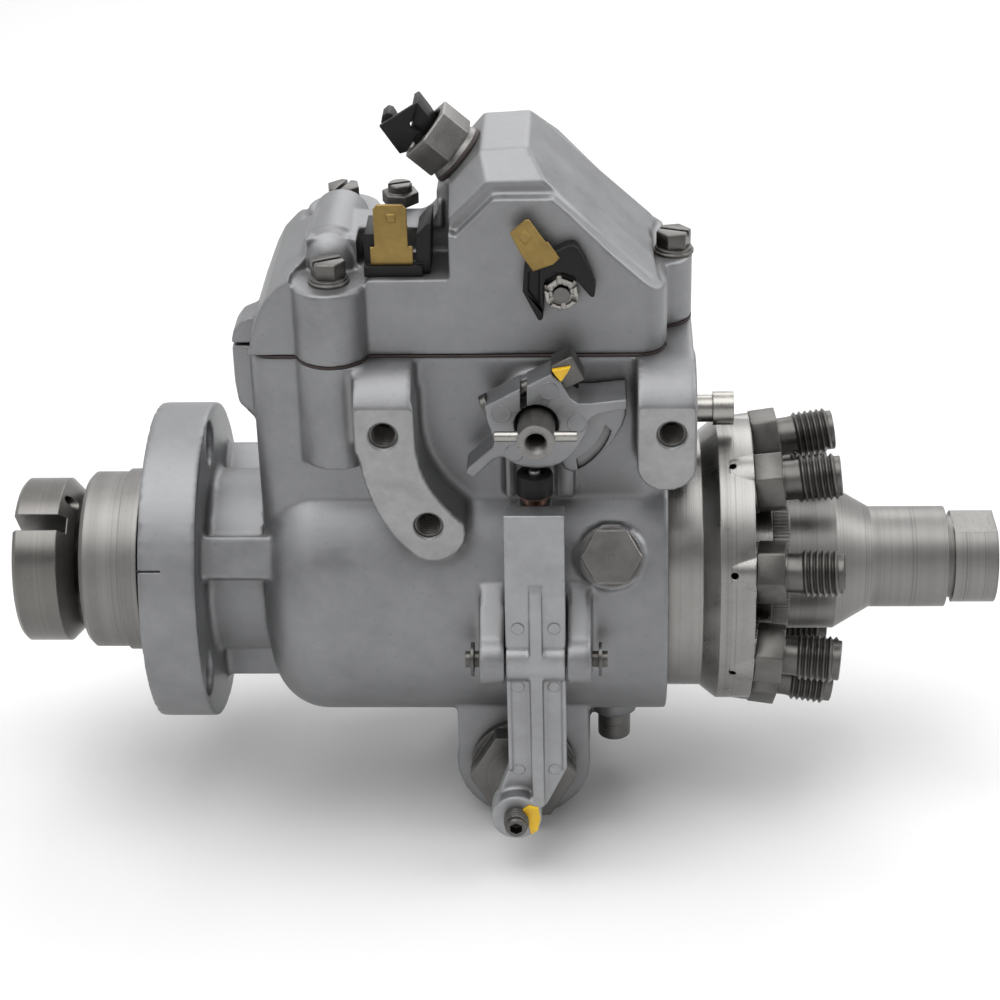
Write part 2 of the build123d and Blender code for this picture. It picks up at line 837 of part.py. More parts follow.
# Metering valve: a rotary valve in the head, with the arm that the hook turns
valve_arm_z = guide_stud_z + spring_radius + 0.4
with BuildPart() as metering_valve:
    with Locations((valve_x, valve_y, valve_bottom_z)):
        Cylinder(valve_radius, valve_arm_z - 8 - valve_bottom_z, align=FROM_FACE)
    with Locations((valve_x, valve_y, valve_bottom_z)):
        Cylinder(2.2, valve_arm_z - valve_bottom_z + 0.5, align=FROM_FACE)
    with BuildSketch(Plane.XY.offset(valve_arm_z)):
        with Locations((valve_x, (valve_y + link_y) / 2)):
            SlotOverall(valve_y - link_y + 6, 6, rotation=90)
    extrude(amount=link_z - link_rod_radius - 0.3 - valve_arm_z)
    with Locations((valve_x, link_y, valve_arm_z)):
        Cylinder(1.2, link_z + link_rod_radius - valve_arm_z, align=FROM_FACE)
finish(metering_valve, "metering_valve")

# Guide stud through the rear wall, carrying the governor spring
with BuildPart() as guide_stud:
    with BuildSketch(Plane.XZ.offset(0)):
        with Locations((0, guide_stud_z)):
            turned(
                [
                    (spring_left - 2.5, spring_left, spring_radius),
                    (spring_left, rear_wall_right, guide_stud_radius),
                    (rear_wall_right, guide_stud_head_left, guide_stud_radius + 1.2),
                    (guide_stud_head_left, guide_stud_head_right, guide_stud_head_radius),
                ]
            )
    revolve(axis=Axis((0, 0, guide_stud_z), (1, 0, 0)))
finish(guide_stud, "guide_stud")

# Governor spring, made as a closed sleeve with one ridge for each turn
spring_right = plate_left - 0.75
turn_pitch = (spring_right - spring_left) / spring_turns
with BuildPart() as governor_spring:
    with BuildSketch(Plane.XZ):
        ridge = [(spring_left, guide_stud_z + guide_stud_radius + 0.4)]
        for turn in range(spring_turns):
            ridge.append((spring_left + turn * turn_pitch, guide_stud_z + spring_radius - 1))
            ridge.append((spring_left + (turn + 0.5) * turn_pitch, guide_stud_z + spring_radius))
        ridge.append((spring_right, guide_stud_z + spring_radius - 1))
        ridge.append((spring_right, guide_stud_z + guide_stud_radius + 0.4))
        Polygon(*ridge, align=None)
    revolve(axis=Axis((0, 0, guide_stud_z), (1, 0, 0)))
finish(governor_spring, "governor_spring")

# Cam ring: eight lobes with a round valley between each pair
cam_left = advance_x - cam_width / 2
with BuildPart() as cam_ring:
    with BuildSketch(Plane.YZ.offset(cam_left)):
        Circle(body_bore_radius - running_gap)
        Circle(cam_lobe_radius, mode=Mode.SUBTRACT)
        with PolarLocations(cam_valley_offset, outlet_count):
            Circle(cam_valley_radius, mode=Mode.SUBTRACT)
    extrude(amount=cam_width)
    with BuildSketch(Plane.XY.offset(-cam_lobe_radius + 4)):
        with Locations((advance_x, 0)):
            Circle(cam_pin_head_radius + seat_gap)
    extrude(amount=-20, mode=Mode.SUBTRACT)
finish(cam_ring, "cam_ring")

# Cam pin: screwed into the ring, with a ball that the advance piston carries
cam_pin_top = -cam_lobe_radius - cam_valley_radius + 1.2
with BuildPart() as cam_pin:
    with Locations((advance_x, 0, cam_pin_top)):
        Cylinder(
            cam_pin_head_radius,
            body_bore_radius - 0.5 + cam_pin_top,
            align=(Align.CENTER, Align.CENTER, Align.MAX),
        )
        Cylinder(
            cam_pin_neck_radius,
            cam_pin_top - advance_z,
            align=(Align.CENTER, Align.CENTER, Align.MAX),
        )
    with Locations((advance_x, 0, advance_z)):
        Sphere(cam_pin_ball_radius)
finish(cam_pin, "cam_pin")

# Advance piston with the slot for the cam pin and the pocket for its spring
with BuildPart() as advance_piston:
    with BuildSketch(Plane.XZ.offset(-piston_front_y)):
        with Locations((advance_x, advance_z)):
            Circle(piston_radius)
    extrude(amount=piston_front_y - piston_rear_y)
    with Locations((advance_x, 0, advance_z - cam_pin_ball_radius - 1.2)):
        Box(
            cam_pin_slot_x,
            cam_pin_slot_y,
            2 * piston_radius,
            align=(Align.CENTER, Align.CENTER, Align.MIN),
            mode=Mode.SUBTRACT,
        )
    with BuildSketch(Plane.XZ.offset(-piston_rear_y)):
        with Locations((advance_x, advance_z)):
            Circle(advance_spring_radius + 0.5)
    extrude(amount=piston_rear_y - piston_pocket_y, mode=Mode.SUBTRACT)
finish(advance_piston, "advance_piston")

# Plugs at both ends of the advance bore
front_plug_inner = piston_front_y - 1.5
rear_plug_inner = piston_rear_y + piston_travel + 1
for plug_name, face_y, inner_y, out in (
    ("advance_plug_front", advance_face_y, front_plug_inner, -1),
    ("advance_plug_rear", -advance_face_y, rear_plug_inner, 1),
):
    with BuildPart() as advance_plug:
        with BuildSketch(Plane.XZ.offset(-inner_y)):
            with Locations((advance_x, advance_z)):
                Circle(piston_radius + running_gap - seat_gap)
        extrude(amount=inner_y - face_y)
        with BuildSketch(Plane.XZ.offset(-face_y)):
            with Locations((advance_x, advance_z)):
                Circle(plug_hex / 2 + 1.6)
        extrude(amount=-out * plug_flange)
        with BuildSketch(Plane.XZ.offset(-(face_y + out * plug_flange))):
            with Locations((advance_x, advance_z)):
                RegularPolygon(plug_hex / 2, 6, major_radius=False)
        extrude(amount=-out * plug_hex_height)
        if out < 0:
            with BuildSketch(Plane.XZ.offset(-inner_y - 1)):
                with Locations((advance_x, advance_z)):
                    Circle(push_pin_radius + running_gap)
            extrude(amount=20, mode=Mode.SUBTRACT)
    finish(advance_plug, plug_name)

# Spring behind the advance piston, seated on the rear plug
with BuildPart() as advance_spring:
    spring_front = piston_pocket_y + piston_travel + free_gap
    spring_step = (rear_plug_inner - running_gap - spring_front) / advance_spring_turns
    with BuildSketch(Plane.YZ.offset(advance_x)):
        ridge = [(spring_front, advance_z + advance_spring_radius - 2)]
        for turn in range(advance_spring_turns):
            ridge.append((spring_front + turn * spring_step, advance_z + advance_spring_radius - 1))
            ridge.append((spring_front + (turn + 0.5) * spring_step, advance_z + advance_spring_radius))
        ridge.append((rear_plug_inner - running_gap, advance_z + advance_spring_radius - 1))
        ridge.append((rear_plug_inner - running_gap, advance_z + advance_spring_radius - 2))
        Polygon(*ridge, align=None)
    revolve(axis=Axis((advance_x, 0, advance_z), (0, 1, 0)))
finish(advance_spring, "advance_spring")

# Push pin through the front plug, worked by the rocker lever
with BuildPart() as advance_push_pin:
    with BuildSketch(Plane.XZ.offset(-push_pin_tip_y)):
        with Locations((advance_x, advance_z)):
            Circle(push_pin_radius)
    extrude(amount=push_pin_tip_y - front_plug_inner + push_pin_back)
finish(advance_push_pin, "advance_push_pin")

# Distributor rotor, with the slots for the roller shoes and the pump blades
rotor_left = shaft_right + free_gap
rotor_shoulder = head_left - free_gap
with BuildPart() as distributor_rotor:
    with BuildSketch(Plane.XZ):
        turned(
            [
                (rotor_left, rotor_shoulder, rotor_radius),
                (rotor_shoulder, rotor_right, rotor_bore_radius - running_gap),
            ]
        )
    revolve(axis=Axis.X)
    with Locations((rotor_left - 1, 0, 0)):
        Box(
            tang_length + 1.5,
            tang_width + 2 * running_gap,
            3 * rotor_radius,
            align=(Align.MIN, Align.CENTER, Align.CENTER),
            mode=Mode.SUBTRACT,
        )
    with Locations((advance_x, 0, 0)):
        Cylinder(plunger_radius + running_gap, 3 * rotor_radius, mode=Mode.SUBTRACT)
    for side in (-1, 1):
        with Locations((advance_x, 0, side * (shoe_inner_radius - running_gap + rotor_radius / 2))):
            Box(
                roller_shoe_length + 2 * running_gap,
                roller_shoe_width + 2 * running_gap,
                rotor_radius,
                mode=Mode.SUBTRACT,
            )
    for blade in range(blade_count):
        blade_plane = Plane(
            origin=(pump_left, 0, 0),
            x_dir=(0, *around_x((blade + 0.5) * 360 / blade_count, 1)),
            z_dir=(1, 0, 0),
        )
        with BuildSketch(blade_plane):
            with Locations((blade_inner_radius - running_gap, 0)):
                Rectangle(
                    rotor_bore_radius,
                    blade_thickness + 2 * running_gap,
                    align=(Align.MIN, Align.CENTER),
                )
        extrude(amount=rotor_right - pump_left, mode=Mode.SUBTRACT)
finish(distributor_rotor, "distributor_rotor")

# Transfer pump blades in the rotor's end, and the liner they sweep
with BuildPart() as transfer_pump_blades:
    for blade in range(blade_count):
        blade_plane = Plane(
            origin=(pump_left + 0.1, 0, 0),
            x_dir=(0, *around_x((blade + 0.5) * 360 / blade_count, 1)),
            z_dir=(1, 0, 0),
        )
        with BuildSketch(blade_plane):
            with Locations((blade_inner_radius, 0)):
                Rectangle(
                    liner_bore_radius - liner_offset - free_gap - blade_inner_radius,
                    blade_thickness,
                    align=(Align.MIN, Align.CENTER),
                )
        extrude(amount=rotor_right - pump_left - 0.2)
finish(transfer_pump_blades, "transfer_pump_blades")

with BuildPart() as transfer_pump_liner:
    with BuildSketch(Plane.YZ.offset(pump_left)):
        Circle(liner_radius)
        with Locations((0, liner_offset)):
            Circle(liner_bore_radius, mode=Mode.SUBTRACT)
    extrude(amount=rotor_right - pump_left)
finish(transfer_pump_liner, "transfer_pump_liner")

# Two pumping plungers, each with its shoe and cam roller
for side, letter in ((1, "a"), (-1, "b")):
    with BuildPart() as pump_plunger:
        with BuildSketch(Plane.XY.offset(side * plunger_inner_radius)):
            with Locations((advance_x, 0)):
                Circle(plunger_radius)
        extrude(amount=side * (shoe_inner_radius - running_gap - plunger_inner_radius))
    finish(pump_plunger, f"pump_plunger_{letter}")
    with BuildPart() as roller_shoe:
        with BuildSketch(Plane.YZ.offset(advance_x - roller_shoe_length / 2)):
            with Locations((0, side * (shoe_inner_radius + shoe_outer_radius) / 2)):
                Rectangle(roller_shoe_width, shoe_outer_radius - shoe_inner_radius)
            with Locations((0, side * cam_roller_offset)):
                Circle(cam_roller_radius + running_gap, mode=Mode.SUBTRACT)
        extrude(amount=roller_shoe_length)
    finish(roller_shoe, f"roller_shoe_{letter}")
    with BuildPart() as cam_roller:
        with BuildSketch(Plane.YZ.offset(advance_x - roller_shoe_length / 2)):
            with Locations((0, side * cam_roller_offset)):
                Circle(cam_roller_radius)
        extrude(amount=roller_shoe_length)
    finish(cam_roller, f"cam_roller_{letter}")

# Hydraulic head with a seat for each outlet fitting
tilt = radians(outlet_tilt)
outlet_planes = []
for outlet in range(outlet_count):
    outlet_y, outlet_z = around_x((outlet + 0.5) * 360 / outlet_count, 1)
    outlet_planes.append(
        Plane(
            origin=(
                outlet_seat_x,
                outlet_circle_radius * outlet_y,
                outlet_circle_radius * outlet_z,
            ),
            x_dir=(0, -outlet_z, outlet_y),
            z_dir=(cos(tilt), sin(tilt) * outlet_y, sin(tilt) * outlet_z),
        )
    )
with BuildPart() as hydraulic_head:
    with BuildSketch(Plane.XZ):
        Polygon(
            (head_left, rotor_bore_radius),
            (head_left, head_neck_radius),
            (head_cone_left, head_neck_radius),
            (head_cone_right, head_ring_radius),
            (head_right, head_ring_radius),
            (head_right, head_nose_radius),
            (head_nose_right, head_nose_radius),
            (head_nose_right, rotor_bore_radius),
            align=None,
        )
    revolve(axis=Axis.X)
    for plane in outlet_planes:
        with BuildSketch(plane):
            Circle(outlet_boss_radius)
        extrude(amount=-6)
    with Locations((cap_left, 0, 0)):
        Cylinder(
            cap_spigot_radius + seat_gap,
            head_nose_right - cap_left + 1,
            rotation=ALONG_X,
            align=FROM_FACE,
            mode=Mode.SUBTRACT,
        )
    for plane in outlet_planes:
        with BuildSketch(plane):
            Circle(outlet_spigot_radius + seat_gap)
        extrude(amount=-outlet_spigot_length - 1, mode=Mode.SUBTRACT)
    for vent in range(outlet_count):
        vent_y, vent_z = around_x((vent + 0.5) * 360 / outlet_count, 1)
        vent_plane = Plane(
            origin=(vent_hole_x, head_ring_radius * vent_y, head_ring_radius * vent_z),
            z_dir=(0, vent_y, vent_z),
        )
        with BuildSketch(vent_plane.offset(1)):
            Circle(vent_hole_radius)
        extrude(amount=-3.5, mode=Mode.SUBTRACT)
    for screw_angle in (30, 150):
        screw_y, screw_z = around_x(screw_angle, 1)
        screw_plane = Plane(origin=(lock_screw_x, 0, 0), x_dir=(1, 0, 0), z_dir=(0, screw_y, screw_z))
        with BuildSketch(screw_plane.offset(lock_screw_tip - 0.5)):
            Circle(lock_screw_radius + running_gap)
        extrude(amount=10, mode=Mode.SUBTRACT)
    with BuildSketch(Plane.XY.offset(-lock_screw_tip + 0.5)):
        with Locations((locating_screw_x, 0)):
            Circle(lock_screw_radius + running_gap)
    extrude(amount=-10, mode=Mode.SUBTRACT)
    with Locations((valve_x, valve_y, valve_bottom_z - 0.3)):
        Cylinder(valve_radius + running_gap, 30, align=FROM_FACE, mode=Mode.SUBTRACT)
finish(hydraulic_head, "hydraulic_head")

# Outlet fittings, one for each engine cylinder
with BuildPart() as outlet_fittings:
    for plane in outlet_planes:
        with BuildSketch(plane):
            Circle(outlet_spigot_radius)
        extrude(amount=-outlet_spigot_length)
        with BuildSketch(plane):
            RegularPolygon(outlet_hex / 2, 6, major_radius=False)
        extrude(amount=outlet_hex_length)
        with BuildSketch(plane.offset(outlet_hex_length)):
            Circle(outlet_neck_radius)
        extrude(amount=outlet_neck_length)
        with BuildSketch(plane.offset(outlet_hex_length + outlet_neck_length)):
            Circle(outlet_thread_radius)
        extrude(amount=outlet_thread_length)
        outlet_tip = outlet_hex_length + outlet_neck_length + outlet_thread_length
        with BuildSketch(plane.offset(outlet_tip)):
            Circle(outlet_bore_radius)
        extrude(amount=-outlet_bore_depth, mode=Mode.SUBTRACT)
        with BuildSketch(plane.offset(outlet_tip)) as cone_mouth:
            Circle(outlet_cone_radius)
        extrude(amount=-(outlet_cone_radius - outlet_bore_radius), taper=45, mode=Mode.SUBTRACT)
finish(outlet_fittings, "outlet_fittings")

# Screws that lock the head: two on the shoulders and a locating screw below
with BuildPart() as head_lock_screws:
    for screw_angle in (30, 150):
        screw_y, screw_z = around_x(screw_angle, 1)
        screw_plane = Plane(origin=(lock_screw_x, 0, 0), x_dir=(1, 0, 0), z_dir=(0, screw_y, screw_z))
        with BuildSketch(screw_plane.offset(lock_screw_tip)):
            Circle(lock_screw_radius)
        extrude(amount=lock_seat_radius - lock_screw_tip)
        with BuildSketch(screw_plane.offset(lock_seat_radius)):
            Circle(lock_flange_radius)
        extrude(amount=lock_flange_height)
        with BuildSketch(screw_plane.offset(lock_seat_radius + lock_flange_height)):
            RegularPolygon(lock_hex / 2, 6, major_radius=False)
        extrude(amount=lock_hex_height)
    with Locations((locating_screw_x, 0, -lock_screw_tip)):
        Cylinder(lock_screw_radius, locating_seat_z - lock_screw_tip, align=(Align.CENTER, Align.CENTER, Align.MAX))
    with Locations((locating_screw_x, 0, -locating_seat_z)):
        Cylinder(locating_head_radius, locating_head_height, align=(Align.CENTER, Align.CENTER, Align.MAX))
finish(head_lock_screws, "head_lock_screws")

# End cap with the fuel inlet, over the transfer pump
with BuildPart() as end_cap:
    with BuildSketch(Plane.XZ):
        turned(
            [
                (cap_left, head_nose_right + free_gap, cap_spigot_radius),
                (head_nose_right + free_gap, cap_knurl_right, cap_radius),
                (cap_knurl_right, cap_shoulder, cap_radius - 0.3),
            ]
        )
        Polygon(
            (cap_shoulder, 0),
            (cap_shoulder, cap_radius - 0.3),
            (cap_waist, cap_waist_radius),
            (cap_waist_right, cap_waist_radius),
            (cap_waist_right, inlet_groove_radius),
            (cap_waist_right + 1.9, inlet_groove_radius),
            (cap_waist_right + 1.9, inlet_radius),
            (inlet_right, inlet_radius),
            (inlet_right, 0),
            align=None,
        )
    revolve(axis=Axis.X)
    with BuildSketch(Plane.XZ):
        turned(
            [
                (cap_left - 1, rotor_right + 0.1, liner_radius + seat_gap),
                (rotor_right + 0.1, regulator_left, rotor_bore_radius),
                (regulator_left, regulator_right, regulator_radius + running_gap),
                (regulator_right, inlet_right - inlet_bore_depth, 3),
                (inlet_right - inlet_bore_depth, inlet_right + 1, inlet_bore_radius),
            ]
        )
    revolve(axis=Axis.X, mode=Mode.SUBTRACT)
    # Two wrench flats at the inlet
    for side in (-1, 1):
        with Locations((cap_waist_right + 1.9, 0, side * inlet_flat / 2)):
            Box(
                40,
                40,
                5,
                align=(Align.MIN, Align.CENTER, Align.MIN if side > 0 else Align.MAX),
                mode=Mode.SUBTRACT,
            )
finish(end_cap, "end_cap")

# Piston that regulates the transfer pressure
with BuildPart() as regulator_piston:
    with Locations((regulator_left + 1.5, 0, 0)):
        Cylinder(regulator_radius, regulator_length, rotation=ALONG_X, align=FROM_FACE)
        Cylinder(3, regulator_length - 3, rotation=ALONG_X, align=FROM_FACE, mode=Mode.SUBTRACT)
finish(regulator_piston, "regulator_piston")

# Gasket and governor cover
with BuildPart() as cover_gasket:
    with BuildSketch(Plane.XY.offset(deck_z)):
        add(deck_outline.sketch)
        with Locations(((well_left + well_right) / 2, 0)):
            RectangleRounded(well_right - well_left, 2 * well_half_width, 5, mode=Mode.SUBTRACT)
        with Locations((cover_screw_x, cover_screw_y), (cover_screw_x, -cover_screw_y), (rear_screw_x, 0)):
            Circle(cover_hole_radius, mode=Mode.SUBTRACT)
    extrude(amount=gasket_thickness)
finish(cover_gasket, "cover_gasket")

cover_base_z = deck_z + gasket_thickness
with BuildPart() as governor_cover:
    with BuildSketch(Plane.XY.offset(cover_base_z)):
        add(deck_outline.sketch)
    extrude(amount=rear_boss_top_z - cover_base_z)
    # Rounded left end and the plateau
    with BuildSketch(Plane.XZ.offset(deck_half_width)):
        with BuildLine():
            Line((deck_left, cover_base_z), (deck_left + 2.2, 79))
            Spline((deck_left + 2.2, 79), (35.7, 88.4), (40, 95), (45, cover_top_z))
            Polyline(
                (45, cover_top_z),
                (80, cover_top_z),
                (80, cover_base_z),
                (deck_left, cover_base_z),
            )
        make_face()
    extrude(amount=-2 * deck_half_width)
    with BuildSketch(Plane.XZ.offset(cover_screw_y - 7)):
        with Locations((cover_screw_x, cover_top_z - ridge_radius + 1)):
            Circle(ridge_radius)
    extrude(amount=-2 * (cover_screw_y - 7))
    # Hump over the solenoids, narrower at its top
    hump_front = [
        (79, cover_base_z),
        (79, 100.5),
        (90, 110.3),
        (105, 110.3),
        (118, 96.6),
        (131, 84.5),
        (131, cover_base_z),
    ]
    hump_middle = [
        (76, cover_base_z),
        (76, 106),
        (87.2, 118.8),
        (98.5, hump_top_z),
        (115, 104.0),
        (128.5, 91.6),
        (128.5, cover_base_z),
    ]
    for side in (-1, 1):
        with BuildSketch(Plane.XZ.offset(-side * hump_half_width)):
            Polygon(*hump_middle, align=None)
        with BuildSketch(Plane.XZ.offset(-side * deck_half_width)):
            Polygon(*hump_front, align=None)
        loft(ruled=True)
    with BuildSketch(Plane.XZ.offset(hump_half_width)):
        Polygon(*hump_middle, align=None)
    extrude(amount=-2 * hump_half_width)
    # Shelf for the shutoff terminal
    with Locations(((57 + 79.5) / 2, -deck_half_width, cover_shelf_z)):
        Box(22.5, 36, 20, align=(Align.CENTER, Align.CENTER, Align.MIN), mode=Mode.SUBTRACT)
    # Screw pockets
    for side in (-1, 1):
        with Locations((cover_screw_x, side * cover_screw_y, cover_boss_top_z)):
            Cylinder(cover_boss_radius + 1.5, 20, align=FROM_FACE, mode=Mode.SUBTRACT)
    with Locations((rear_screw_x, 0, rear_boss_top_z)):
        Cylinder(6.2, 20, align=FROM_FACE, mode=Mode.SUBTRACT)
    # Hollow under the cover
    with BuildSketch(Plane.XZ.offset(well_half_width)):
        Polygon(
            (37.5, cover_base_z - 1),
            (37.5, 80),
            (43, 86),
            (82, 86),
            (84, 98),
            (91, 105.5),
            (103, 105.5),
            (115, 92.5),
            (124, 84),
            (124, cover_base_z - 1),
            align=None,
        )
    extrude(amount=-2 * well_half_width, mode=Mode.SUBTRACT)
    # Holes for the screws, the terminal studs and the return connector
    with BuildSketch(Plane.XY.offset(cover_base_z - 1)):
        with Locations((cover_screw_x, cover_screw_y), (cover_screw_x, -cover_screw_y), (rear_screw_x, 0)):
            Circle(cover_hole_radius)
    extrude(amount=40, mode=Mode.SUBTRACT)
    with Locations((shutoff_x, shutoff_terminal_y, 80)):
        Cylinder(terminal_stud_radius + seat_gap, 20, align=FROM_FACE, mode=Mode.SUBTRACT)
    with BuildSketch(Plane.XZ.offset(well_half_width - 1)):
        with Locations((advance_terminal_x, advance_terminal_z)):
            Circle(terminal_stud_radius + seat_gap)
    extrude(amount=20, mode=Mode.SUBTRACT)
    return_plane = Plane(
        origin=((76 + 87.2) / 2, 0, (106 + 118.8) / 2),
        x_dir=(0, 1, 0),
        z_dir=(106 - 118.8, 0, 87.2 - 76),
    )
    with BuildSketch(return_plane):
        Circle(return_spigot_radius + seat_gap)
    extrude(amount=-12, mode=Mode.SUBTRACT)
finish(governor_cover, "governor_cover")

# Cover screws with their washers
with BuildPart() as cover_screws:
    for screw_x, screw_y, seat_z, washer in (
        (cover_screw_x, -cover_screw_y, cover_boss_top_z, washer_height),
        (cover_screw_x, cover_screw_y, cover_boss_top_z, washer_height),
        (rear_screw_x, 0, rear_boss_top_z, washer_height),
    ):
        with Locations((screw_x, screw_y, cover_base_z - 12)):
            Cylinder(cover_screw_radius, seat_z + washer - cover_base_z + 12.1, align=FROM_FACE)
        with BuildSketch(Plane.XY.offset(seat_z + washer)):
            with Locations((screw_x, screw_y)):
                RegularPolygon(cover_screw_hex / 2, 6, major_radius=False)
        extrude(amount=cover_screw_head)
        with Locations((screw_x, screw_y, seat_z + washer + cover_screw_head)):
            Box(
                2 * cover_screw_hex,
                1.2,
                1.6,
                align=(Align.CENTER, Align.CENTER, Align.MAX),
                mode=Mode.SUBTRACT,
            )
    for screw_x, screw_y, seat_z in (
        (cover_screw_x, -cover_screw_y, cover_boss_top_z),
        (cover_screw_x, cover_screw_y, cover_boss_top_z),
        (rear_screw_x, 0, rear_boss_top_z),
    ):
        with BuildSketch(Plane.XY.offset(seat_z)):
            with Locations((screw_x, screw_y)):
                Circle(washer_radius)
                Circle(cover_screw_radius + running_gap, mode=Mode.SUBTRACT)
        extrude(amount=washer_height)
    for side in (-1, 1):
        with BuildSketch(Plane.XZ.offset(-timing_face_y - timing_thickness)):
            with Locations((timing_x + side * timing_screw_offset, 0)):
                Circle(timing_screw_radius)
        extrude(amount=timing_thickness + 4)
        with BuildSketch(Plane.XZ.offset(-timing_face_y - timing_thickness)):
            with Locations((timing_x + side * timing_screw_offset, 0)):
                Circle(timing_screw_radius + 1.8)
        extrude(amount=-2.6)
finish(cover_screws, "cover_screws")

# Fuel return connector and its clip
with BuildPart() as return_connector:
    with BuildSketch(return_plane):
        Circle(return_spigot_radius)
    extrude(amount=-6)
    with BuildSketch(return_plane):
        Circle(return_radius + 0.6)
    extrude(amount=2.5)
    with BuildSketch(return_plane):
        Circle(return_radius)
    extrude(amount=return_height)
    with BuildSketch(return_plane.offset(return_height)):
        Circle(return_bore_radius)
    extrude(amount=-return_height - 7, mode=Mode.SUBTRACT)
finish(return_connector, "return_connector")

with BuildPart() as return_clip:
    with BuildSketch(return_plane.offset(return_height)):
        Rectangle(10, 12.4)
    extrude(amount=7)
    with BuildSketch(return_plane.offset(return_height + 2)):
        Rectangle(20, 7.4)
    extrude(amount=10, mode=Mode.SUBTRACT)
finish(return_clip, "return_clip")

# Solenoids under the cover, with a stud through it
with BuildPart() as shutoff_solenoid:
    with Locations((shutoff_x, shutoff_y, cover_base_z + 2)):
        Cylinder(shutoff_radius, 86 - 0.3 - cover_base_z - 2, align=FROM_FACE)
    with Locations((shutoff_x, shutoff_terminal_y, 80)):
        Cylinder(terminal_stud_radius, cover_shelf_z + 5 - 80, align=FROM_FACE)
finish(shutoff_solenoid, "shutoff_solenoid")

with BuildPart() as advance_solenoid:
    with BuildSketch(Plane.XZ.offset(well_half_width - 0.3)):
        with Locations((advance_terminal_x, advance_terminal_z)):
            Circle(8)
    extrude(amount=-22)
    with BuildSketch(Plane.XZ.offset(well_half_width - 1)):
        with Locations((advance_terminal_x, advance_terminal_z)):
            Circle(terminal_stud_radius)
    extrude(amount=deck_half_width - well_half_width + 7)
finish(advance_solenoid, "advance_solenoid")

# Terminal shrouds, tabs and nuts
with BuildPart() as terminal_shrouds:
    with Locations((shutoff_x, shutoff_terminal_y, cover_shelf_z)):
        Box(15.2, 12, 7, align=(Align.CENTER, Align.CENTER, Align.MIN))
        Box(11.6, 20, 7, align=(Align.CENTER, Align.CENTER, Align.MIN), mode=Mode.SUBTRACT)
    with Locations((shutoff_x, shutoff_terminal_y, cover_shelf_z)):
        Box(15.2, 12, 0.6, align=(Align.CENTER, Align.CENTER, Align.MIN))
        Cylinder(terminal_stud_radius + running_gap, 10, mode=Mode.SUBTRACT)
    with BuildSketch(Plane.XZ.offset(deck_half_width)):
        with Locations((advance_terminal_x, advance_terminal_z)):
            Rectangle(13, 13)
            Circle(terminal_stud_radius + running_gap, mode=Mode.SUBTRACT)
    extrude(amount=1.2)
finish(terminal_shrouds, "terminal_shrouds")

with BuildPart() as terminal_tabs:
    with BuildSketch(Plane.XY.offset(cover_shelf_z + 0.6)):
        with Locations((shutoff_x, shutoff_terminal_y)):
            Rectangle(11, 8.6)
            Circle(terminal_stud_radius + running_gap, mode=Mode.SUBTRACT)
    extrude(amount=0.8)
    with Locations((shutoff_x, shutoff_terminal_y + 3.9, cover_shelf_z + 0.6)):
        Box(8, 0.8, 13, align=(Align.CENTER, Align.CENTER, Align.MIN))
    with BuildSketch(Plane.XZ.offset(deck_half_width + 1.2)):
        with Locations((advance_terminal_x - 3, advance_terminal_z + 4)):
            Rectangle(8, 18, rotation=35)
        with Locations((advance_terminal_x, advance_terminal_z)):
            Circle(terminal_stud_radius + running_gap, mode=Mode.SUBTRACT)
    extrude(amount=0.8)
finish(terminal_tabs, "terminal_tabs")

with BuildPart() as terminal_nuts:
    with BuildSketch(Plane.XY.offset(cover_shelf_z + 1.4)):
        with Locations((shutoff_x, shutoff_terminal_y)):
            RegularPolygon(3.0, 6, major_radius=False)
            Circle(terminal_stud_radius + running_gap, mode=Mode.SUBTRACT)
    extrude(amount=2.4)
    with BuildSketch(Plane.XZ.offset(deck_half_width + 2.0)):
        with Locations((advance_terminal_x, advance_terminal_z)):
            RegularPolygon(3.5, 6, major_radius=False)
            Circle(terminal_stud_radius + running_gap, mode=Mode.SUBTRACT)
    extrude(amount=3)
    with BuildSketch(Plane.XY.offset(cover_top_z)):
        with Locations((66, 9)):
            RegularPolygon(4, 6, major_radius=False)
    extrude(amount=3)
    with Locations((66, 9, cover_top_z)):
        Cylinder(1.9, 5, align=FROM_FACE)
finish(terminal_nuts, "terminal_nuts")

# Throttle shaft, lever and clamp bolt
with BuildPart() as throttle_shaft:
    with BuildSketch(Plane.XZ.offset(-throttle_end_y)):
        with Locations((throttle_x, throttle_z)):
            Circle(throttle_shaft_radius)
    extrude(amount=throttle_end_y - throttle_rear_y)
    with BuildSketch(Plane.XZ.offset(-throttle_end_y)):
        with Locations((throttle_x, throttle_z)):
            Circle(2.6)
    extrude(amount=-2, mode=Mode.SUBTRACT)
    with Locations((throttle_x, lever_pin_y, throttle_z)):
        Cylinder(lever_pin_radius + seat_gap, 20, rotation=ALONG_X, mode=Mode.SUBTRACT)
    with Locations((throttle_x - 9.8, lever_pin_y, throttle_z)):
        Cylinder(lever_pin_radius, 19.4, rotation=ALONG_X, align=FROM_FACE)
finish(throttle_shaft, "throttle_shaft")

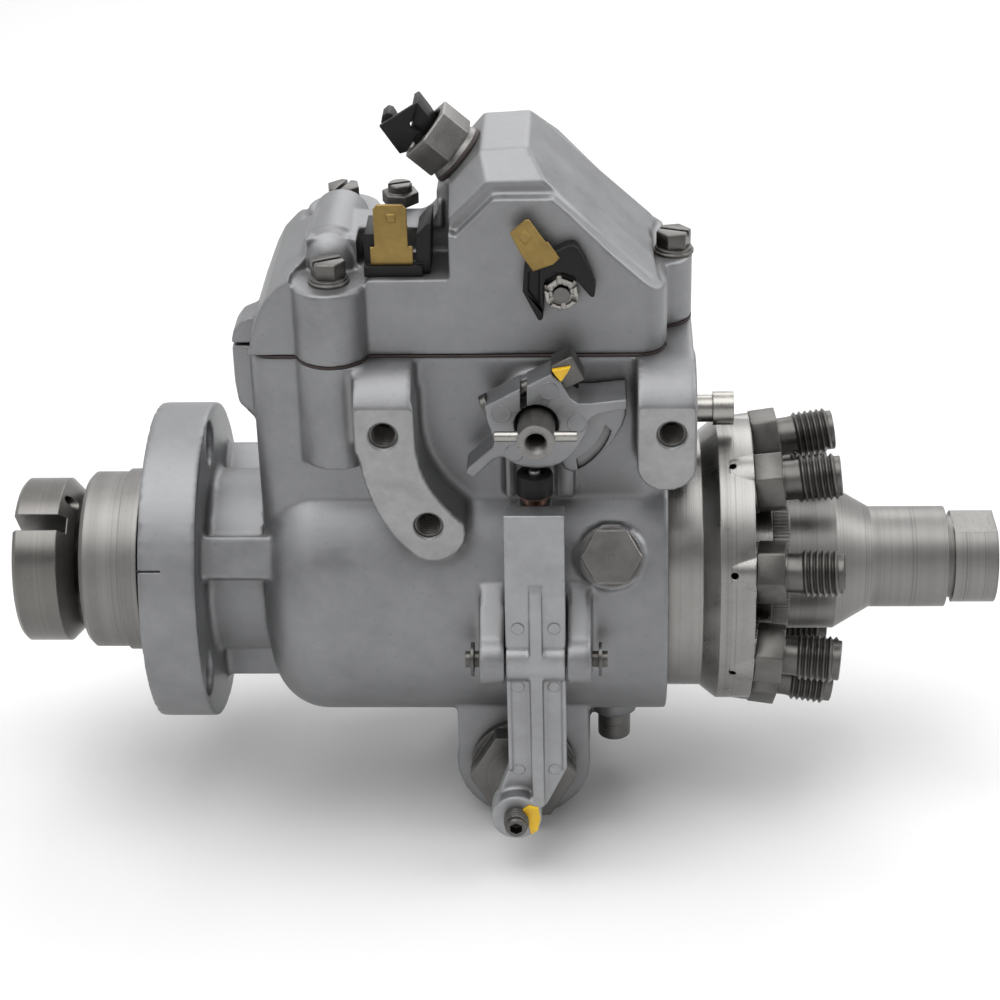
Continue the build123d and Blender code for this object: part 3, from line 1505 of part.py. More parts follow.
with BuildPart() as throttle_lever:
    # Clamp hub with two ears above the shaft
    with BuildSketch(Plane.XZ.offset(-lever_face_y)):
        with BuildLine():
            Polyline(
                (90.4, 52.6),
                (87.4, 63.1),
                (94.8, 66.5),
                (97.2, 67.9),
                (103.6, 71.3),
                (106.1, 69.1),
                (109.3, 63.8),
                (110.4, 53.0),
            )
            ThreePointArc((110.4, 53.0), (100.1, 46.5), (90.4, 52.6))
        make_face()
        with Locations((throttle_x, throttle_z)):
            Circle(throttle_shaft_radius + seat_gap, mode=Mode.SUBTRACT)
    extrude(amount=lever_face_y - lever_back_y)
    # Finger, arm and cam quadrant in a thinner plate
    with BuildSketch(Plane.XZ.offset(-lever_plate_y)):
        with BuildLine():
            Polyline(
                (106.5, 64.0),
                (121.7, 64.3),
                (121.7, 60.0),
                (116.6, 49.3),
                (108.8, 43.9),
                (99.9, 47.3),
                (90.1, 52.0),
                (83.9, 44.3),
                (81.6, 46.6),
                (88.2, 56.0),
                (92, 62),
                (106.5, 64.0),
            )
        make_face()
        with Locations((throttle_x, throttle_z)):
            Circle(throttle_shaft_radius + seat_gap, mode=Mode.SUBTRACT)
    extrude(amount=lever_plate_y - lever_back_y)
    # Slit that the clamp bolt closes
    with BuildSketch(Plane.XZ.offset(-lever_face_y + 1)):
        Polygon(
            (throttle_x - 1.2, throttle_z),
            (95.1, 72),
            (96.6, 72),
            (throttle_x + 0.3, throttle_z),
            align=None,
        )
    extrude(amount=-20, mode=Mode.SUBTRACT)
    with BuildSketch(clamp_plane):
        Circle(clamp_bolt_radius + running_gap)
    extrude(amount=40, mode=Mode.SUBTRACT)
finish(throttle_lever, "throttle_lever")

with BuildPart() as lever_clamp_bolt:
    with BuildSketch(clamp_plane.offset(clamp_head_face)):
        RegularPolygon(clamp_head_flats / 2, 6, major_radius=False)
    extrude(amount=-clamp_head_height)
    with BuildSketch(clamp_plane.offset(clamp_head_face)):
        Circle(clamp_bolt_radius)
    extrude(amount=clamp_nut_face + clamp_nut_height + 1 - clamp_head_face)
    with BuildSketch(clamp_plane.offset(clamp_nut_face)):
        Rectangle(clamp_nut_flats, clamp_nut_flats)
        Circle(clamp_bolt_radius + running_gap, mode=Mode.SUBTRACT)
    extrude(amount=clamp_nut_height)
finish(lever_clamp_bolt, "lever_clamp_bolt")

# Rocker lever of the advance, with its roller at the top and its screw below
rocker_left = rocker_x - rocker_width / 2
rocker_right = rocker_x + rocker_width / 2
with BuildPart() as rocker_lever:
    with BuildSketch(Plane.YZ.offset(rocker_end_x - rocker_end_radius)):
        with BuildLine():
            Polyline(
                (-46.8, rocker_top_z),
                (-41.3, rocker_top_z),
                (-41.6, 20),
                (-42.2, -4),
                (-45.8, -30),
                (-46.4, rocker_end_z),
                (-52.5, rocker_end_z),
                (-51.2, -25),
                (-50.4, 6),
                (-46.8, rocker_top_z),
            )
        make_face()
        with Locations((rocker_pin_y, rocker_pin_z)):
            Circle(rocker_barrel_radius)
    extrude(amount=rocker_right - rocker_end_x + rocker_end_radius)
    with BuildSketch(Plane.XZ.offset(60)):
        Polygon(
            (rocker_left, rocker_top_z + 1),
            (rocker_right, rocker_top_z + 1),
            (rocker_right, -34),
            (rocker_end_x + 4.6, rocker_end_z - 4),
            (rocker_end_x, rocker_end_z - rocker_end_radius),
            (rocker_end_x - 6.0, rocker_end_z - 1.6),
            (rocker_end_x - 4.6, rocker_end_z + 4),
            (rocker_left, -34),
            align=None,
        )
    extrude(amount=-30, mode=Mode.INTERSECT)
    # Channels each side of the middle rib
    for side in (-1, 1):
        with BuildSketch(Plane.XZ.offset(60)):
            with Locations((rocker_x + side * 3.5, -13)):
                RectangleRounded(4.2, 44, 2)
        extrude(amount=-60 + 45.6, mode=Mode.SUBTRACT)
    with Locations((rocker_x, rocker_pin_y, rocker_pin_z)):
        Cylinder(rocker_barrel_radius, rocker_width, rotation=ALONG_X)
    with BuildSketch(Plane.XZ.offset(-rocker_end_y + 4)):
        with Locations((rocker_end_x, rocker_end_z)):
            Circle(rocker_end_radius)
    extrude(amount=-8.8)
    # Shelf and pin for the roller
    with Locations((roller_x, rocker_top_y + 1, roller_bottom_z - free_gap)):
        Box(
            8,
            roller_y - rocker_top_y + 2,
            3,
            align=(Align.CENTER, Align.MIN, Align.MAX),
        )
    with Locations((roller_x, roller_y, roller_bottom_z - 1)):
        Cylinder(roller_pin_radius, roller_top_z - roller_bottom_z + 1.8, align=FROM_FACE)
    with Locations((rocker_x, rocker_pin_y, rocker_pin_z)):
        Cylinder(rocker_pin_radius + running_gap, 40, rotation=ALONG_X, mode=Mode.SUBTRACT)
    with BuildSketch(Plane.XZ.offset(70)):
        with Locations((rocker_end_x, rocker_end_z)):
            Circle(rocker_screw_radius + seat_gap)
    extrude(amount=-40, mode=Mode.SUBTRACT)
finish(rocker_lever, "rocker_lever")

with BuildPart() as rocker_screw:
    with BuildSketch(Plane.XZ.offset(-rocker_screw_tip)):
        with Locations((rocker_end_x, rocker_end_z)):
            Circle(rocker_screw_radius)
    extrude(amount=rocker_screw_tip - push_pin_tip_y + 0.6)
    with BuildSketch(Plane.XZ.offset(-rocker_screw_tip)):
        with Locations((rocker_end_x, rocker_end_z)):
            RegularPolygon(1.7, 6)
    extrude(amount=-4, mode=Mode.SUBTRACT)
finish(rocker_screw, "rocker_screw")

with BuildPart() as rocker_pin:
    with Locations((rocker_pin_left, rocker_pin_y, rocker_pin_z)):
        Cylinder(rocker_pin_radius, rocker_pin_right - rocker_pin_left, rotation=ALONG_X, align=FROM_FACE)
    for clip_x in (rocker_pin_left + 1.4, rocker_pin_right - 2.2):
        with BuildSketch(Plane.YZ.offset(clip_x)):
            with Locations((rocker_pin_y, rocker_pin_z)):
                Circle(rocker_pin_radius + 2.2)
                Circle(rocker_pin_radius + seat_gap, mode=Mode.SUBTRACT)
        extrude(amount=0.8)
    with Locations((rocker_x, rocker_pin_y, rocker_pin_z - 5)):
        Box(60, 2.4, 8, mode=Mode.SUBTRACT)
finish(rocker_pin, "rocker_pin")

with BuildPart() as advance_roller:
    with BuildSketch(Plane.XY.offset(roller_bottom_z)):
        with Locations((roller_x, roller_y)):
            Circle(roller_radius)
            Circle(roller_pin_radius + running_gap, mode=Mode.SUBTRACT)
    extrude(amount=roller_top_z - roller_bottom_z)
finish(advance_roller, "advance_roller")

# Timing cover on the far side, with its two screws
with BuildPart() as timing_cover:
    with BuildSketch(Plane.XZ.offset(-timing_face_y)):
        with Locations((timing_x, 0)):
            SlotOverall(timing_length, timing_width)
        with Locations((timing_x - timing_screw_offset, 0), (timing_x + timing_screw_offset, 0)):
            Circle(timing_screw_radius + running_gap, mode=Mode.SUBTRACT)
    extrude(amount=-timing_thickness)
finish(timing_cover, "timing_cover")

print(len(made), "nodes")
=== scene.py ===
"""Finishes and details of a diesel injection pump, built around its CAD parts.

The mounting flange's face is at X = 0 and the drive axis runs along X. The modelling helpers take
millimetres and degrees, and Blender's own calls and settings take metres and radians.
"""

import json
import math

import bpy
from bpy.props import FloatProperty, FloatVectorProperty, IntProperty, PointerProperty
from mathutils import Matrix, Vector

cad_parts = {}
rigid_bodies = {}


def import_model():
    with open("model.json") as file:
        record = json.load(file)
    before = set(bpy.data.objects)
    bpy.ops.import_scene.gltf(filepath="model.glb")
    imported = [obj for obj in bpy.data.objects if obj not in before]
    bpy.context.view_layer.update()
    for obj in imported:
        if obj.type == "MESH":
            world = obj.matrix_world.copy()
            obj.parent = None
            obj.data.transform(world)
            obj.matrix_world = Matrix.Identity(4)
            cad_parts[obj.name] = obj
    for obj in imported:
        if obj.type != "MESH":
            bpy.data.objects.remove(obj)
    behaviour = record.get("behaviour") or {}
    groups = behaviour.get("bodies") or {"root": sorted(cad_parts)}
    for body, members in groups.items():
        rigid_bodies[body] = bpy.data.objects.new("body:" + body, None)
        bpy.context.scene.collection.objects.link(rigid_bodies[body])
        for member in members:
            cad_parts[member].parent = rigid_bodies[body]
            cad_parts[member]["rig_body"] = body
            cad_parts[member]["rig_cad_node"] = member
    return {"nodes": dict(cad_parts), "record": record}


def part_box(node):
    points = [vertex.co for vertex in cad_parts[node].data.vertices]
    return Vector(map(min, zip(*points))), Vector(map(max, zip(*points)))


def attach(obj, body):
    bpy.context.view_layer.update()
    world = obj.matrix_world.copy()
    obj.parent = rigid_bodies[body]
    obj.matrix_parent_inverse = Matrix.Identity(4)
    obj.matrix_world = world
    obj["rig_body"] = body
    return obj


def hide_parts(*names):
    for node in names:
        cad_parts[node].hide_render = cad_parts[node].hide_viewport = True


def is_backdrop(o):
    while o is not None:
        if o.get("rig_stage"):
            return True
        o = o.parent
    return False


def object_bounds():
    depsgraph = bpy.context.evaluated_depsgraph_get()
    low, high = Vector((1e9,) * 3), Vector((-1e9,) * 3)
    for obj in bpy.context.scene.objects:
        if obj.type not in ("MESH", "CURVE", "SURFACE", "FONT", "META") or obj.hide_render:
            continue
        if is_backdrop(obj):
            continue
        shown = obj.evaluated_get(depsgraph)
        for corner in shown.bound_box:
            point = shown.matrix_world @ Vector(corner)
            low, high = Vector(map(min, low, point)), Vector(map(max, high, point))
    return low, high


bl_info = {
    "name": "Injection Pump Finishes",
    "version": (1, 0, 0),
    "blender": (4, 5, 0),
    "location": "View3D > Sidebar > Pump",
    "description": "Castings, threads, screws, terminals and materials of a diesel injection pump",
    "category": "Object",
}

MM = 0.001

# Directions: to the fuel inlet, up through the cover, to the throttle lever's side, and away
RIGHT, UP, NEAR, FAR = (1, 0, 0), (0, 0, 1), (0, -1, 0), (0, 1, 0)

# Places that several pieces share, in millimetres
DECK_TOP, COVER_BOTTOM = 70, 70.6
FRONT_SCREW_X, FRONT_SCREW_Y, RIGHT_SCREW_X = 50.5, 22, 133.6
SCREW_SEATS = {"near": 89.1, "far": 91.1, "right": 87.1}
SCREW_BOSS_RADIUS = 9.2
TIMING_COVER_FACE = 43.4
PAD_FACE, PAD_HOLE_FACE = -37.8, -38.0
PAD_HOLES = ((63.1, 55.3), (132.5, 55.3), (73.2, 30.6))
TIMING_MARK_X, TIMING_MARK_Z = 2.7, 17.7
SPINDLE_X, SPINDLE_Z = 100.1, 57.9
LEVER_FACE, LEVER_BACK = -37.0, -28.5
ROCKER_LEFT, ROCKER_WIDTH = 91.9, 14.8
ROCKER_SCREW_X, ROCKER_SCREW_Z = 93.8, -45.7
CONNECTOR_ORIGIN, CONNECTOR_AXIS = (81.6, 0, 112.4), (-12.8, 0, 11.2)

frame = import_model()
nodes = frame["nodes"]
mounts = {mount["name"]: mount for mount in frame["record"]["mounts"]}
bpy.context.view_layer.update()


def angle_setting(name, description, degrees):
    """An angle among the settings."""
    value = math.radians(degrees)
    return FloatProperty(name=name, description=description, default=value, subtype="ANGLE")


def power_setting(name, description, watts):
    """A lamp's power among the settings."""
    return FloatProperty(name=name, description=description, default=watts, unit="POWER")


def length_setting(name, description, millimetres):
    """A short length among the settings."""
    value = millimetres * MM
    return FloatProperty(
        name=name, description=description, default=value, unit="LENGTH", precision=5
    )


def colour_setting(name, description, value):
    """A colour among the settings."""
    return FloatVectorProperty(
        name=name, description=description, default=value, subtype="COLOR", min=0, max=1
    )


class PumpStudio(bpy.types.PropertyGroup):
    """Camera, floor and lamps."""

    azimuth: angle_setting("Azimuth", "Turn of the camera round the pump", 2.5856)
    elevation: angle_setting("Elevation", "Height of the camera above the horizon", 28.6)
    roll: angle_setting("Roll", "Tilt of the camera about its own axis", -1.4652)
    target: FloatVectorProperty(
        name="Target",
        description="Point that the camera looks at",
        default=(0.08923, 0.0, 0.01727),
        subtype="XYZ",
    )
    distance: FloatProperty(
        name="Distance", description="Camera to target", default=0.63667, unit="LENGTH"
    )
    lens: FloatProperty(name="Lens", description="Focal length in millimetres", default=87.8)
    sensor: FloatProperty(
        name="Sensor", description="Sensor width in millimetres", default=36.0
    )
    key_power: power_setting("Key", "Power of the lamp overhead", 11.0)
    fill_power: power_setting("Fill", "Power of the lamp on the right", 4.0)
    rim_power: power_setting("Rim", "Power of the lamp behind", 3.0)
    low_power: power_setting("Low", "Power of the lamp near the floor", 2.2)
    surround: FloatProperty(
        name="Surround", description="Strength of the pale surround", default=0.42
    )
    floor_colour: colour_setting("Floor", "Colour of the floor", (0.96, 0.96, 0.96))


class PumpFinishes(bpy.types.PropertyGroup):
    """Colours of the pump's materials."""

    casting: colour_setting("Casting", "Blasted cast aluminium", (0.235, 0.237, 0.243))
    machined: colour_setting("Machined", "Cut aluminium faces", (0.29, 0.29, 0.29))
    turned_steel: colour_setting("Turned steel", "Head and end cap", (0.2, 0.195, 0.188))
    dark_steel: colour_setting("Dark steel", "Hub, screws and outlets", (0.12, 0.116, 0.11))
    bright_steel: colour_setting("Bright steel", "Ground pins and studs", (0.33, 0.32, 0.3))
    brass: colour_setting("Brass", "Terminal tabs", (0.25, 0.172, 0.058))
    plastic: colour_setting("Plastic", "Terminal shrouds and clip", (0.006, 0.006, 0.006))
    rubber: colour_setting("Rubber", "O-ring and seals", (0.02, 0.011, 0.01))
    copper: colour_setting("Copper", "Rim of the roller", (0.22, 0.13, 0.1))
    paint: colour_setting("Paint mark", "Yellow sealing paint", (0.83, 0.43, 0.013))


class PumpDetails(bpy.types.PropertyGroup):
    """Sizes of the details that are modelled here."""

    casting_voxel: length_setting("Casting voxel", "Fineness of the castings", 0.75)
    small_voxel: length_setting("Small casting voxel", "Fineness of the levers", 0.35)
    thread_pitch: length_setting("Thread pitch", "Pitch of the outlet threads", 1.5)
    outlet_hex: length_setting("Outlet hexagon", "Across flats", 14.0)
    knurl_teeth: IntProperty(name="Knurl teeth", description="Teeth round the end cap", default=120)


# Node helpers


def feed(tree, socket, value):
    """Links a socket to an input, or sets the input to a plain value."""
    if isinstance(value, bpy.types.NodeSocket):
        tree.links.new(value, socket)
    else:
        socket.default_value = value


def put(tree, kind, inputs=None, **settings):
    """Adds a node, sets its properties, and fills its inputs with values or links."""
    made = tree.nodes.new(kind)
    for key, value in settings.items():
        setattr(made, key, value)
    for key, value in (inputs or {}).items():
        feed(tree, made.inputs[key], value)
    return made


def maths(tree, operation, first, second=0.0):
    """A Math node's output."""
    return put(tree, "ShaderNodeMath", {0: first, 1: second}, operation=operation).outputs[0]


def blend(tree, factor, first, second, kind="RGBA"):
    """A Mix node's output, for colours or plain values."""
    node = put(tree, "ShaderNodeMix", data_type=kind)
    offset = 6 if kind == "RGBA" else 2
    for index, value in ((0, factor), (offset, first), (offset + 1, second)):
        feed(tree, node.inputs[index], value)
    return node.outputs[2 if kind == "RGBA" else 0]


def ramp(tree, value, low, high, to_low=0.0, to_high=1.0):
    """A Map Range node's output, clamped."""
    inputs = {
        "Value": value,
        "From Min": low,
        "From Max": high,
        "To Min": to_low,
        "To Max": to_high,
    }
    return put(tree, "ShaderNodeMapRange", inputs).outputs["Result"]


def noise(tree, place, scale, detail, roughness=0.5):
    """A Noise Texture node's output."""
    inputs = {"Vector": place, "Scale": scale, "Detail": detail, "Roughness": roughness}
    return put(tree, "ShaderNodeTexNoise", inputs).outputs[0]


def new_group(name, inputs, outputs):
    """An empty shader group with its sockets, and its input and output nodes."""
    tree = bpy.data.node_groups.new(name, "ShaderNodeTree")
    for label, kind, value in inputs:
        socket = tree.interface.new_socket(label, in_out="INPUT", socket_type=kind)
        if value is not None:
            socket.default_value = value
    for label, kind in outputs:
        tree.interface.new_socket(label, in_out="OUTPUT", socket_type=kind)
    given = tree.nodes.new("NodeGroupInput").outputs
    return tree, given, tree.nodes.new("NodeGroupOutput").inputs


VECTOR, FLOAT = "NodeSocketVector", "NodeSocketFloat"


def grain_group():
    """Fine blasted grain with a slow mottle and a few pits."""
    tree, given, wanted = new_group(
        "Blasted grain",
        [("Vector", VECTOR, None), ("Size", FLOAT, 0.4 * MM)],
        [("Height", FLOAT), ("Mottle", FLOAT), ("Pits", FLOAT)],
    )
    scale = maths(tree, "DIVIDE", 1.0, given["Size"])
    fine = noise(tree, given["Vector"], scale, 3.0, 0.6)
    slow = noise(tree, given["Vector"], maths(tree, "MULTIPLY", scale, 0.045), 6.0, 0.68)
    pit_scale = maths(tree, "MULTIPLY", scale, 0.16)
    pits = put(tree, "ShaderNodeTexVoronoi", {"Vector": given["Vector"], "Scale": pit_scale})
    tree.links.new(fine, wanted["Height"])
    tree.links.new(ramp(tree, slow, 0.32, 0.68), wanted["Mottle"])
    tree.links.new(ramp(tree, pits.outputs[0], 0.03, 0.13, 1.0, 0.0), wanted["Pits"])
    return tree


def turning_group():
    """Fine lines round the drive axis, as a lathe leaves them."""
    tree, given, wanted = new_group(
        "Turning lines",
        [("Vector", VECTOR, None), ("Spacing", FLOAT, 0.3 * MM)],
        [("Lines", FLOAT), ("Bands", FLOAT)],
    )
    parts = put(tree, "ShaderNodeSeparateXYZ", {0: given["Vector"]}).outputs
    squares = [maths(tree, "MULTIPLY", part, part) for part in (parts[1], parts[2])]
    radius = maths(tree, "SQRT", maths(tree, "ADD", *squares))
    place = put(tree, "ShaderNodeCombineXYZ", {0: parts[0], 1: radius}).outputs[0]
    scale = maths(tree, "DIVIDE", 1.0, given["Spacing"])
    lines = noise(tree, place, scale, 2.0, 0.7)
    bands = noise(tree, place, maths(tree, "MULTIPLY", scale, 0.14), 3.0, 0.6)
    tree.links.new(lines, wanted["Lines"])
    tree.links.new(ramp(tree, bands, 0.35, 0.65), wanted["Bands"])
    return tree


def edge_group():
    """Mask of convex edges, broken up by noise, where handling has polished them."""
    tree, given, wanted = new_group(
        "Worn edges",
        [("Vector", VECTOR, None), ("Radius", FLOAT, 0.5 * MM)],
        [("Edges", FLOAT), ("Normal", VECTOR)],
    )
    rounded = put(tree, "ShaderNodeBevel", {"Radius": given["Radius"]}, samples=4)
    true_normal = put(tree, "ShaderNodeNewGeometry").outputs["Normal"]
    normals = {0: rounded.outputs[0], 1: true_normal}
    match = put(tree, "ShaderNodeVectorMath", normals, operation="DOT_PRODUCT")
    turned = ramp(tree, match.outputs["Value"], 0.995, 0.9)
    uneven = ramp(tree, noise(tree, given["Vector"], 260.0, 4.0), 0.3, 0.62)
    tree.links.new(maths(tree, "MULTIPLY", turned, uneven), wanted["Edges"])
    tree.links.new(rounded.outputs[0], wanted["Normal"])
    return tree


def shade_and_oil_group():
    """Mask of corners and hollows from ambient occlusion, for painted shade there, tinted like the
    oil and dust that stay.
    """
    tree, given, wanted = new_group(
        "Corner grime", [("Vector", VECTOR, None), ("Reach", FLOAT, 5 * MM)], [("Grime", FLOAT)]
    )
    open_sky = put(tree, "ShaderNodeAmbientOcclusion", {"Distance": given["Reach"]}, samples=6)
    uneven = ramp(tree, noise(tree, given["Vector"], 120.0, 5.0), 0.2, 0.7, 0.45, 1.0)
    closed = ramp(tree, open_sky.outputs["AO"], 0.75, 0.25)
    tree.links.new(maths(tree, "MULTIPLY", closed, uneven), wanted["Grime"])
    return tree


def use_group(tree, name, inputs):
    """Places a shared effect in a material."""
    return put(tree, "ShaderNodeGroup", inputs, node_tree=bpy.data.node_groups[name]).outputs


def new_material(name):
    """A material with its Principled shader, and the object's own coordinates."""
    material = bpy.data.materials.new(name)
    material.use_nodes = True
    tree = material.node_tree
    tree.nodes.clear()
    shader = put(tree, "ShaderNodeBsdfPrincipled")
    output = put(tree, "ShaderNodeOutputMaterial")
    tree.links.new(shader.outputs[0], output.inputs[0])
    place = put(tree, "ShaderNodeTexCoord").outputs["Object"]
    return material, tree, shader, place


def shade(colour, factor):
    """The colour made lighter or darker, with its alpha."""
    return (*(min(1.0, channel * factor) for channel in colour), 1.0)


def roughen(tree, shader, height, normal):
    """Turns a height in millimetres into the shader's normal."""
    inputs = {"Strength": 1.0, "Distance": MM, "Height": height, "Normal": normal}
    tree.links.new(put(tree, "ShaderNodeBump", inputs).outputs[0], shader.inputs["Normal"])


# Shares of a metal's brightness: oil and painted shade in corners, worn edges, lathe bands and
# lines, and pits
SHADE_AND_OIL_TINT = (0.6, 0.5, 0.4)
SHADE_AND_OIL, POLISHED, BANDS, LINES, PITS = 0.45, 1.75, 1.35, 0.5, 0.55


def metal(name, colour, roughness, grain=0.4, grain_depth=0.02, lines=0.0, line_depth=0.01,
          wear=0.5, grime=0.6, metallic=0.9, mottle=0.14, centre=None,
          axis_turn=(0.0, 0.0, 0.0), both_sides=False):
    """A metal with grain, lathe lines, polished edges, and oil and painted shade in its corners.

    Grain and lines are in millimetres. The lines run round the drive axis, or round an axis
    through centre that axis_turn brings onto X. With both_sides the pattern of the positive side
    is repeated on the other sides of the origin.
    """
    _, tree, shader, place = new_material(name)
    surface = use_group(tree, "Blasted grain", {"Vector": place, "Size": grain * MM})
    edges = use_group(tree, "Worn edges", {"Vector": place})
    shade_and_oil_mask = use_group(tree, "Corner grime", {"Vector": place})
    tone = blend(tree, surface["Mottle"], shade(colour, 1 - mottle), shade(colour, 1 + mottle))
    rough = ramp(tree, surface["Mottle"], 0.0, 1.0, roughness - 0.06, roughness + 0.06)
    height = maths(tree, "MULTIPLY", surface["Height"], grain_depth)
    if lines:
        spun = place
        if centre is not None:
            if both_sides:
                mirrored = put(tree, "ShaderNodeVectorMath", {0: place}, operation="ABSOLUTE")
                spun = mirrored.outputs[0]
            back = [-value * MM for value in centre]
            moved = put(tree, "ShaderNodeMapping", {"Vector": spun, "Location": back}).outputs[0]
            turned = put(tree, "ShaderNodeMapping", {"Vector": moved, "Rotation": axis_turn})
            spun = turned.outputs[0]
        cut = use_group(tree, "Turning lines", {"Vector": spun, "Spacing": lines * MM})
        bands = maths(tree, "MULTIPLY", cut["Bands"], 0.5)
        tone = blend(tree, bands, tone, shade(colour, BANDS))
        grooves = ramp(tree, cut["Lines"], 0.45, 0.3, 0.0, 0.55)
        tone = blend(tree, grooves, tone, shade(colour, LINES))
        height = maths(tree, "ADD", height, maths(tree, "MULTIPLY", cut["Lines"], line_depth))
    else:
        pits = maths(tree, "MULTIPLY", surface["Pits"], 0.35)
        tone = blend(tree, pits, tone, shade(colour, PITS))
    # Oil-brown tone laid in where occlusion is high: oil, and painted shade in the corners
    shaded_oil_tone = shade(SHADE_AND_OIL_TINT, colour[0] * SHADE_AND_OIL)
    tone = blend(tree, maths(tree, "MULTIPLY", shade_and_oil_mask["Grime"], grime), tone, shaded_oil_tone)
    polished = shade(colour, POLISHED)
    tone = blend(tree, maths(tree, "MULTIPLY", edges["Edges"], wear), tone, polished)
    tree.links.new(tone, shader.inputs["Base Color"])
    tree.links.new(rough, shader.inputs["Roughness"])
    shader.inputs["Metallic"].default_value = metallic
    roughen(tree, shader, height, edges["Normal"])


def moulded(name, colour, roughness, grain, depth, shine):
    """Moulded plastic, rubber or paint."""
    _, tree, shader, place = new_material(name)
    surface = use_group(tree, "Blasted grain", {"Vector": place, "Size": grain * MM})
    edges = use_group(tree, "Worn edges", {"Vector": place, "Radius": 0.35 * MM})
    tone = blend(tree, surface["Mottle"], shade(colour, 0.8), shade(colour, 1.5))
    tone = blend(tree, maths(tree, "MULTIPLY", edges["Edges"], 0.5), tone, shade(colour, 4.0))
    tree.links.new(tone, shader.inputs["Base Color"])
    rough = ramp(tree, surface["Mottle"], 0, 1, roughness, roughness + 0.12)
    tree.links.new(rough, shader.inputs["Roughness"])
    shader.inputs["Specular IOR Level"].default_value = shine
    height = maths(tree, "MULTIPLY", surface["Height"], depth)
    roughen(tree, shader, height, edges["Normal"])


# Name, colour setting, its brightness, roughness, and what differs from the usual metal
METALS = (
    ("Cast aluminium", "casting", 1.0, 0.47,
     dict(grain=0.55, grain_depth=0.022, wear=0.35, grime=0.75, metallic=0.8)),
    ("Light casting", "casting", 1.3, 0.42,
     dict(grain=0.5, grain_depth=0.014, wear=0.4, grime=0.7, metallic=0.85)),
    ("Machined aluminium", "machined", 1.0, 0.36,
     dict(grain=0.3, grain_depth=0.006, lines=0.35, line_depth=0.012, wear=0.3, grime=0.5)),
    ("Milled aluminium", "machined", 1.0, 0.34,
     dict(grain=0.25, grain_depth=0.006, wear=0.3, grime=0.4)),
    ("Turned steel", "turned_steel", 1.0, 0.42,
     dict(grain=0.5, grain_depth=0.006, lines=0.45, line_depth=0.03, wear=0.6, grime=0.75,
          metallic=1.0, mottle=0.1)),
    ("Dark steel", "dark_steel", 1.0, 0.36,
     dict(grain=0.35, grain_depth=0.008, wear=0.7, grime=0.7, metallic=0.95, mottle=0.25)),
    ("Hub steel", "dark_steel", 1.25, 0.33,
     dict(grain=0.5, grain_depth=0.006, lines=0.5, line_depth=0.02, wear=0.6, grime=0.6,
          metallic=1.0, mottle=0.12)),
    ("Head steel", "turned_steel", 1.15, 0.3,
     dict(grain=0.5, grain_depth=0.006, lines=0.5, line_depth=0.04, wear=0.6, grime=0.85,
          metallic=1.0, mottle=0.16)),
    ("Plug steel", "turned_steel", 0.62, 0.33,
     dict(grain=0.4, grain_depth=0.006, lines=0.4, line_depth=0.03, wear=0.6, grime=0.7,
          metallic=1.0, centre=(95.0, 0.0, -46.0), axis_turn=(0.0, 0.0, -math.pi / 2))),
    ("Lock screw steel", "turned_steel", 1.0, 0.33,
     dict(grain=0.4, grain_depth=0.006, lines=0.4, line_depth=0.03, wear=0.6, grime=0.7,
          metallic=1.0, centre=(118.0, 0.0, 0.0), axis_turn=(-math.pi / 6, 0.0, -math.pi / 2),
          both_sides=True)),
    ("Pilot metal", "turned_steel", 1.0, 0.46,
     dict(grain=0.4, grain_depth=0.008, lines=0.4, line_depth=0.016, wear=0.4, grime=0.6,
          metallic=1.0)),
    ("Bright steel", "bright_steel", 1.0, 0.28,
     dict(grain=0.25, grain_depth=0.005, wear=0.4, grime=0.6, metallic=1.0)),
    ("Brass", "brass", 1.0, 0.4,
     dict(grain=0.35, grain_depth=0.006, wear=0.5, grime=0.4, metallic=0.9, mottle=0.2)),
    ("Copper", "copper", 1.0, 0.38,
     dict(grain=0.3, grain_depth=0.006, wear=0.5, grime=0.4, metallic=0.95)),
    ("Bronze", "brass", 0.8, 0.35, dict(lines=0.3, wear=0.3, grime=0.4)),
)
# Name, colour setting, roughness, grain and its depth in millimetres, and shine
MOULDINGS = (
    ("Black plastic", "plastic", 0.42, 0.3, 0.004, 0.25),
    ("Black rubber", "rubber", 0.5, 0.4, 0.008, 0.5),
    ("Yellow paint", "paint", 0.35, 0.8, 0.05, 0.5),
)
FINISH_OF_SLOT = {
    "cast_aluminium": "Cast aluminium",
    "machined_aluminium": "Machined aluminium",
    "dark_steel": "Dark steel",
    "black_rubber": "Black rubber",
    "bronze_bush": "Bronze",
    "zinc_yellow_steel": "Turned steel",
    "plain_steel": "Bright steel",
    "black_plastic": "Black plastic",
    "brass_tab": "Brass",
}
FINISH_OF_NODE = {
    "hydraulic_head": "Head steel",
    "end_cap": "Turned steel",
    "drive_hub": "Hub steel",
    "pilot_tube": "Pilot metal",
    "advance_plug_front": "Plug steel",
    "advance_plug_rear": "Plug steel",
    "head_lock_screws": "Lock screw steel",
    "return_connector": "Dark steel",
    "terminal_nuts": "Dark steel",
    "lever_clamp_bolt": "Dark steel",
    "rocker_screw": "Dark steel",
    "rocker_pin": "Dark steel",
}


# Modelling helpers


def only(piece):
    """Makes one object the whole selection."""
    bpy.ops.object.select_all(action="DESELECT")
    piece.select_set(True)
    bpy.context.view_layer.objects.active = piece


def added(name, add, **settings):
    """A new primitive, named and with its place applied."""
    bpy.ops.object.select_all(action="DESELECT")
    add(**settings)
    piece = bpy.context.object
    piece.name = name
    bpy.ops.object.transform_apply(location=True, rotation=True, scale=True)
    return piece


def edit(action="DESELECT"):
    """Opens the active piece in edit mode, with nothing or everything selected."""
    bpy.ops.object.mode_set(mode="EDIT")
    bpy.ops.mesh.select_all(action=action)


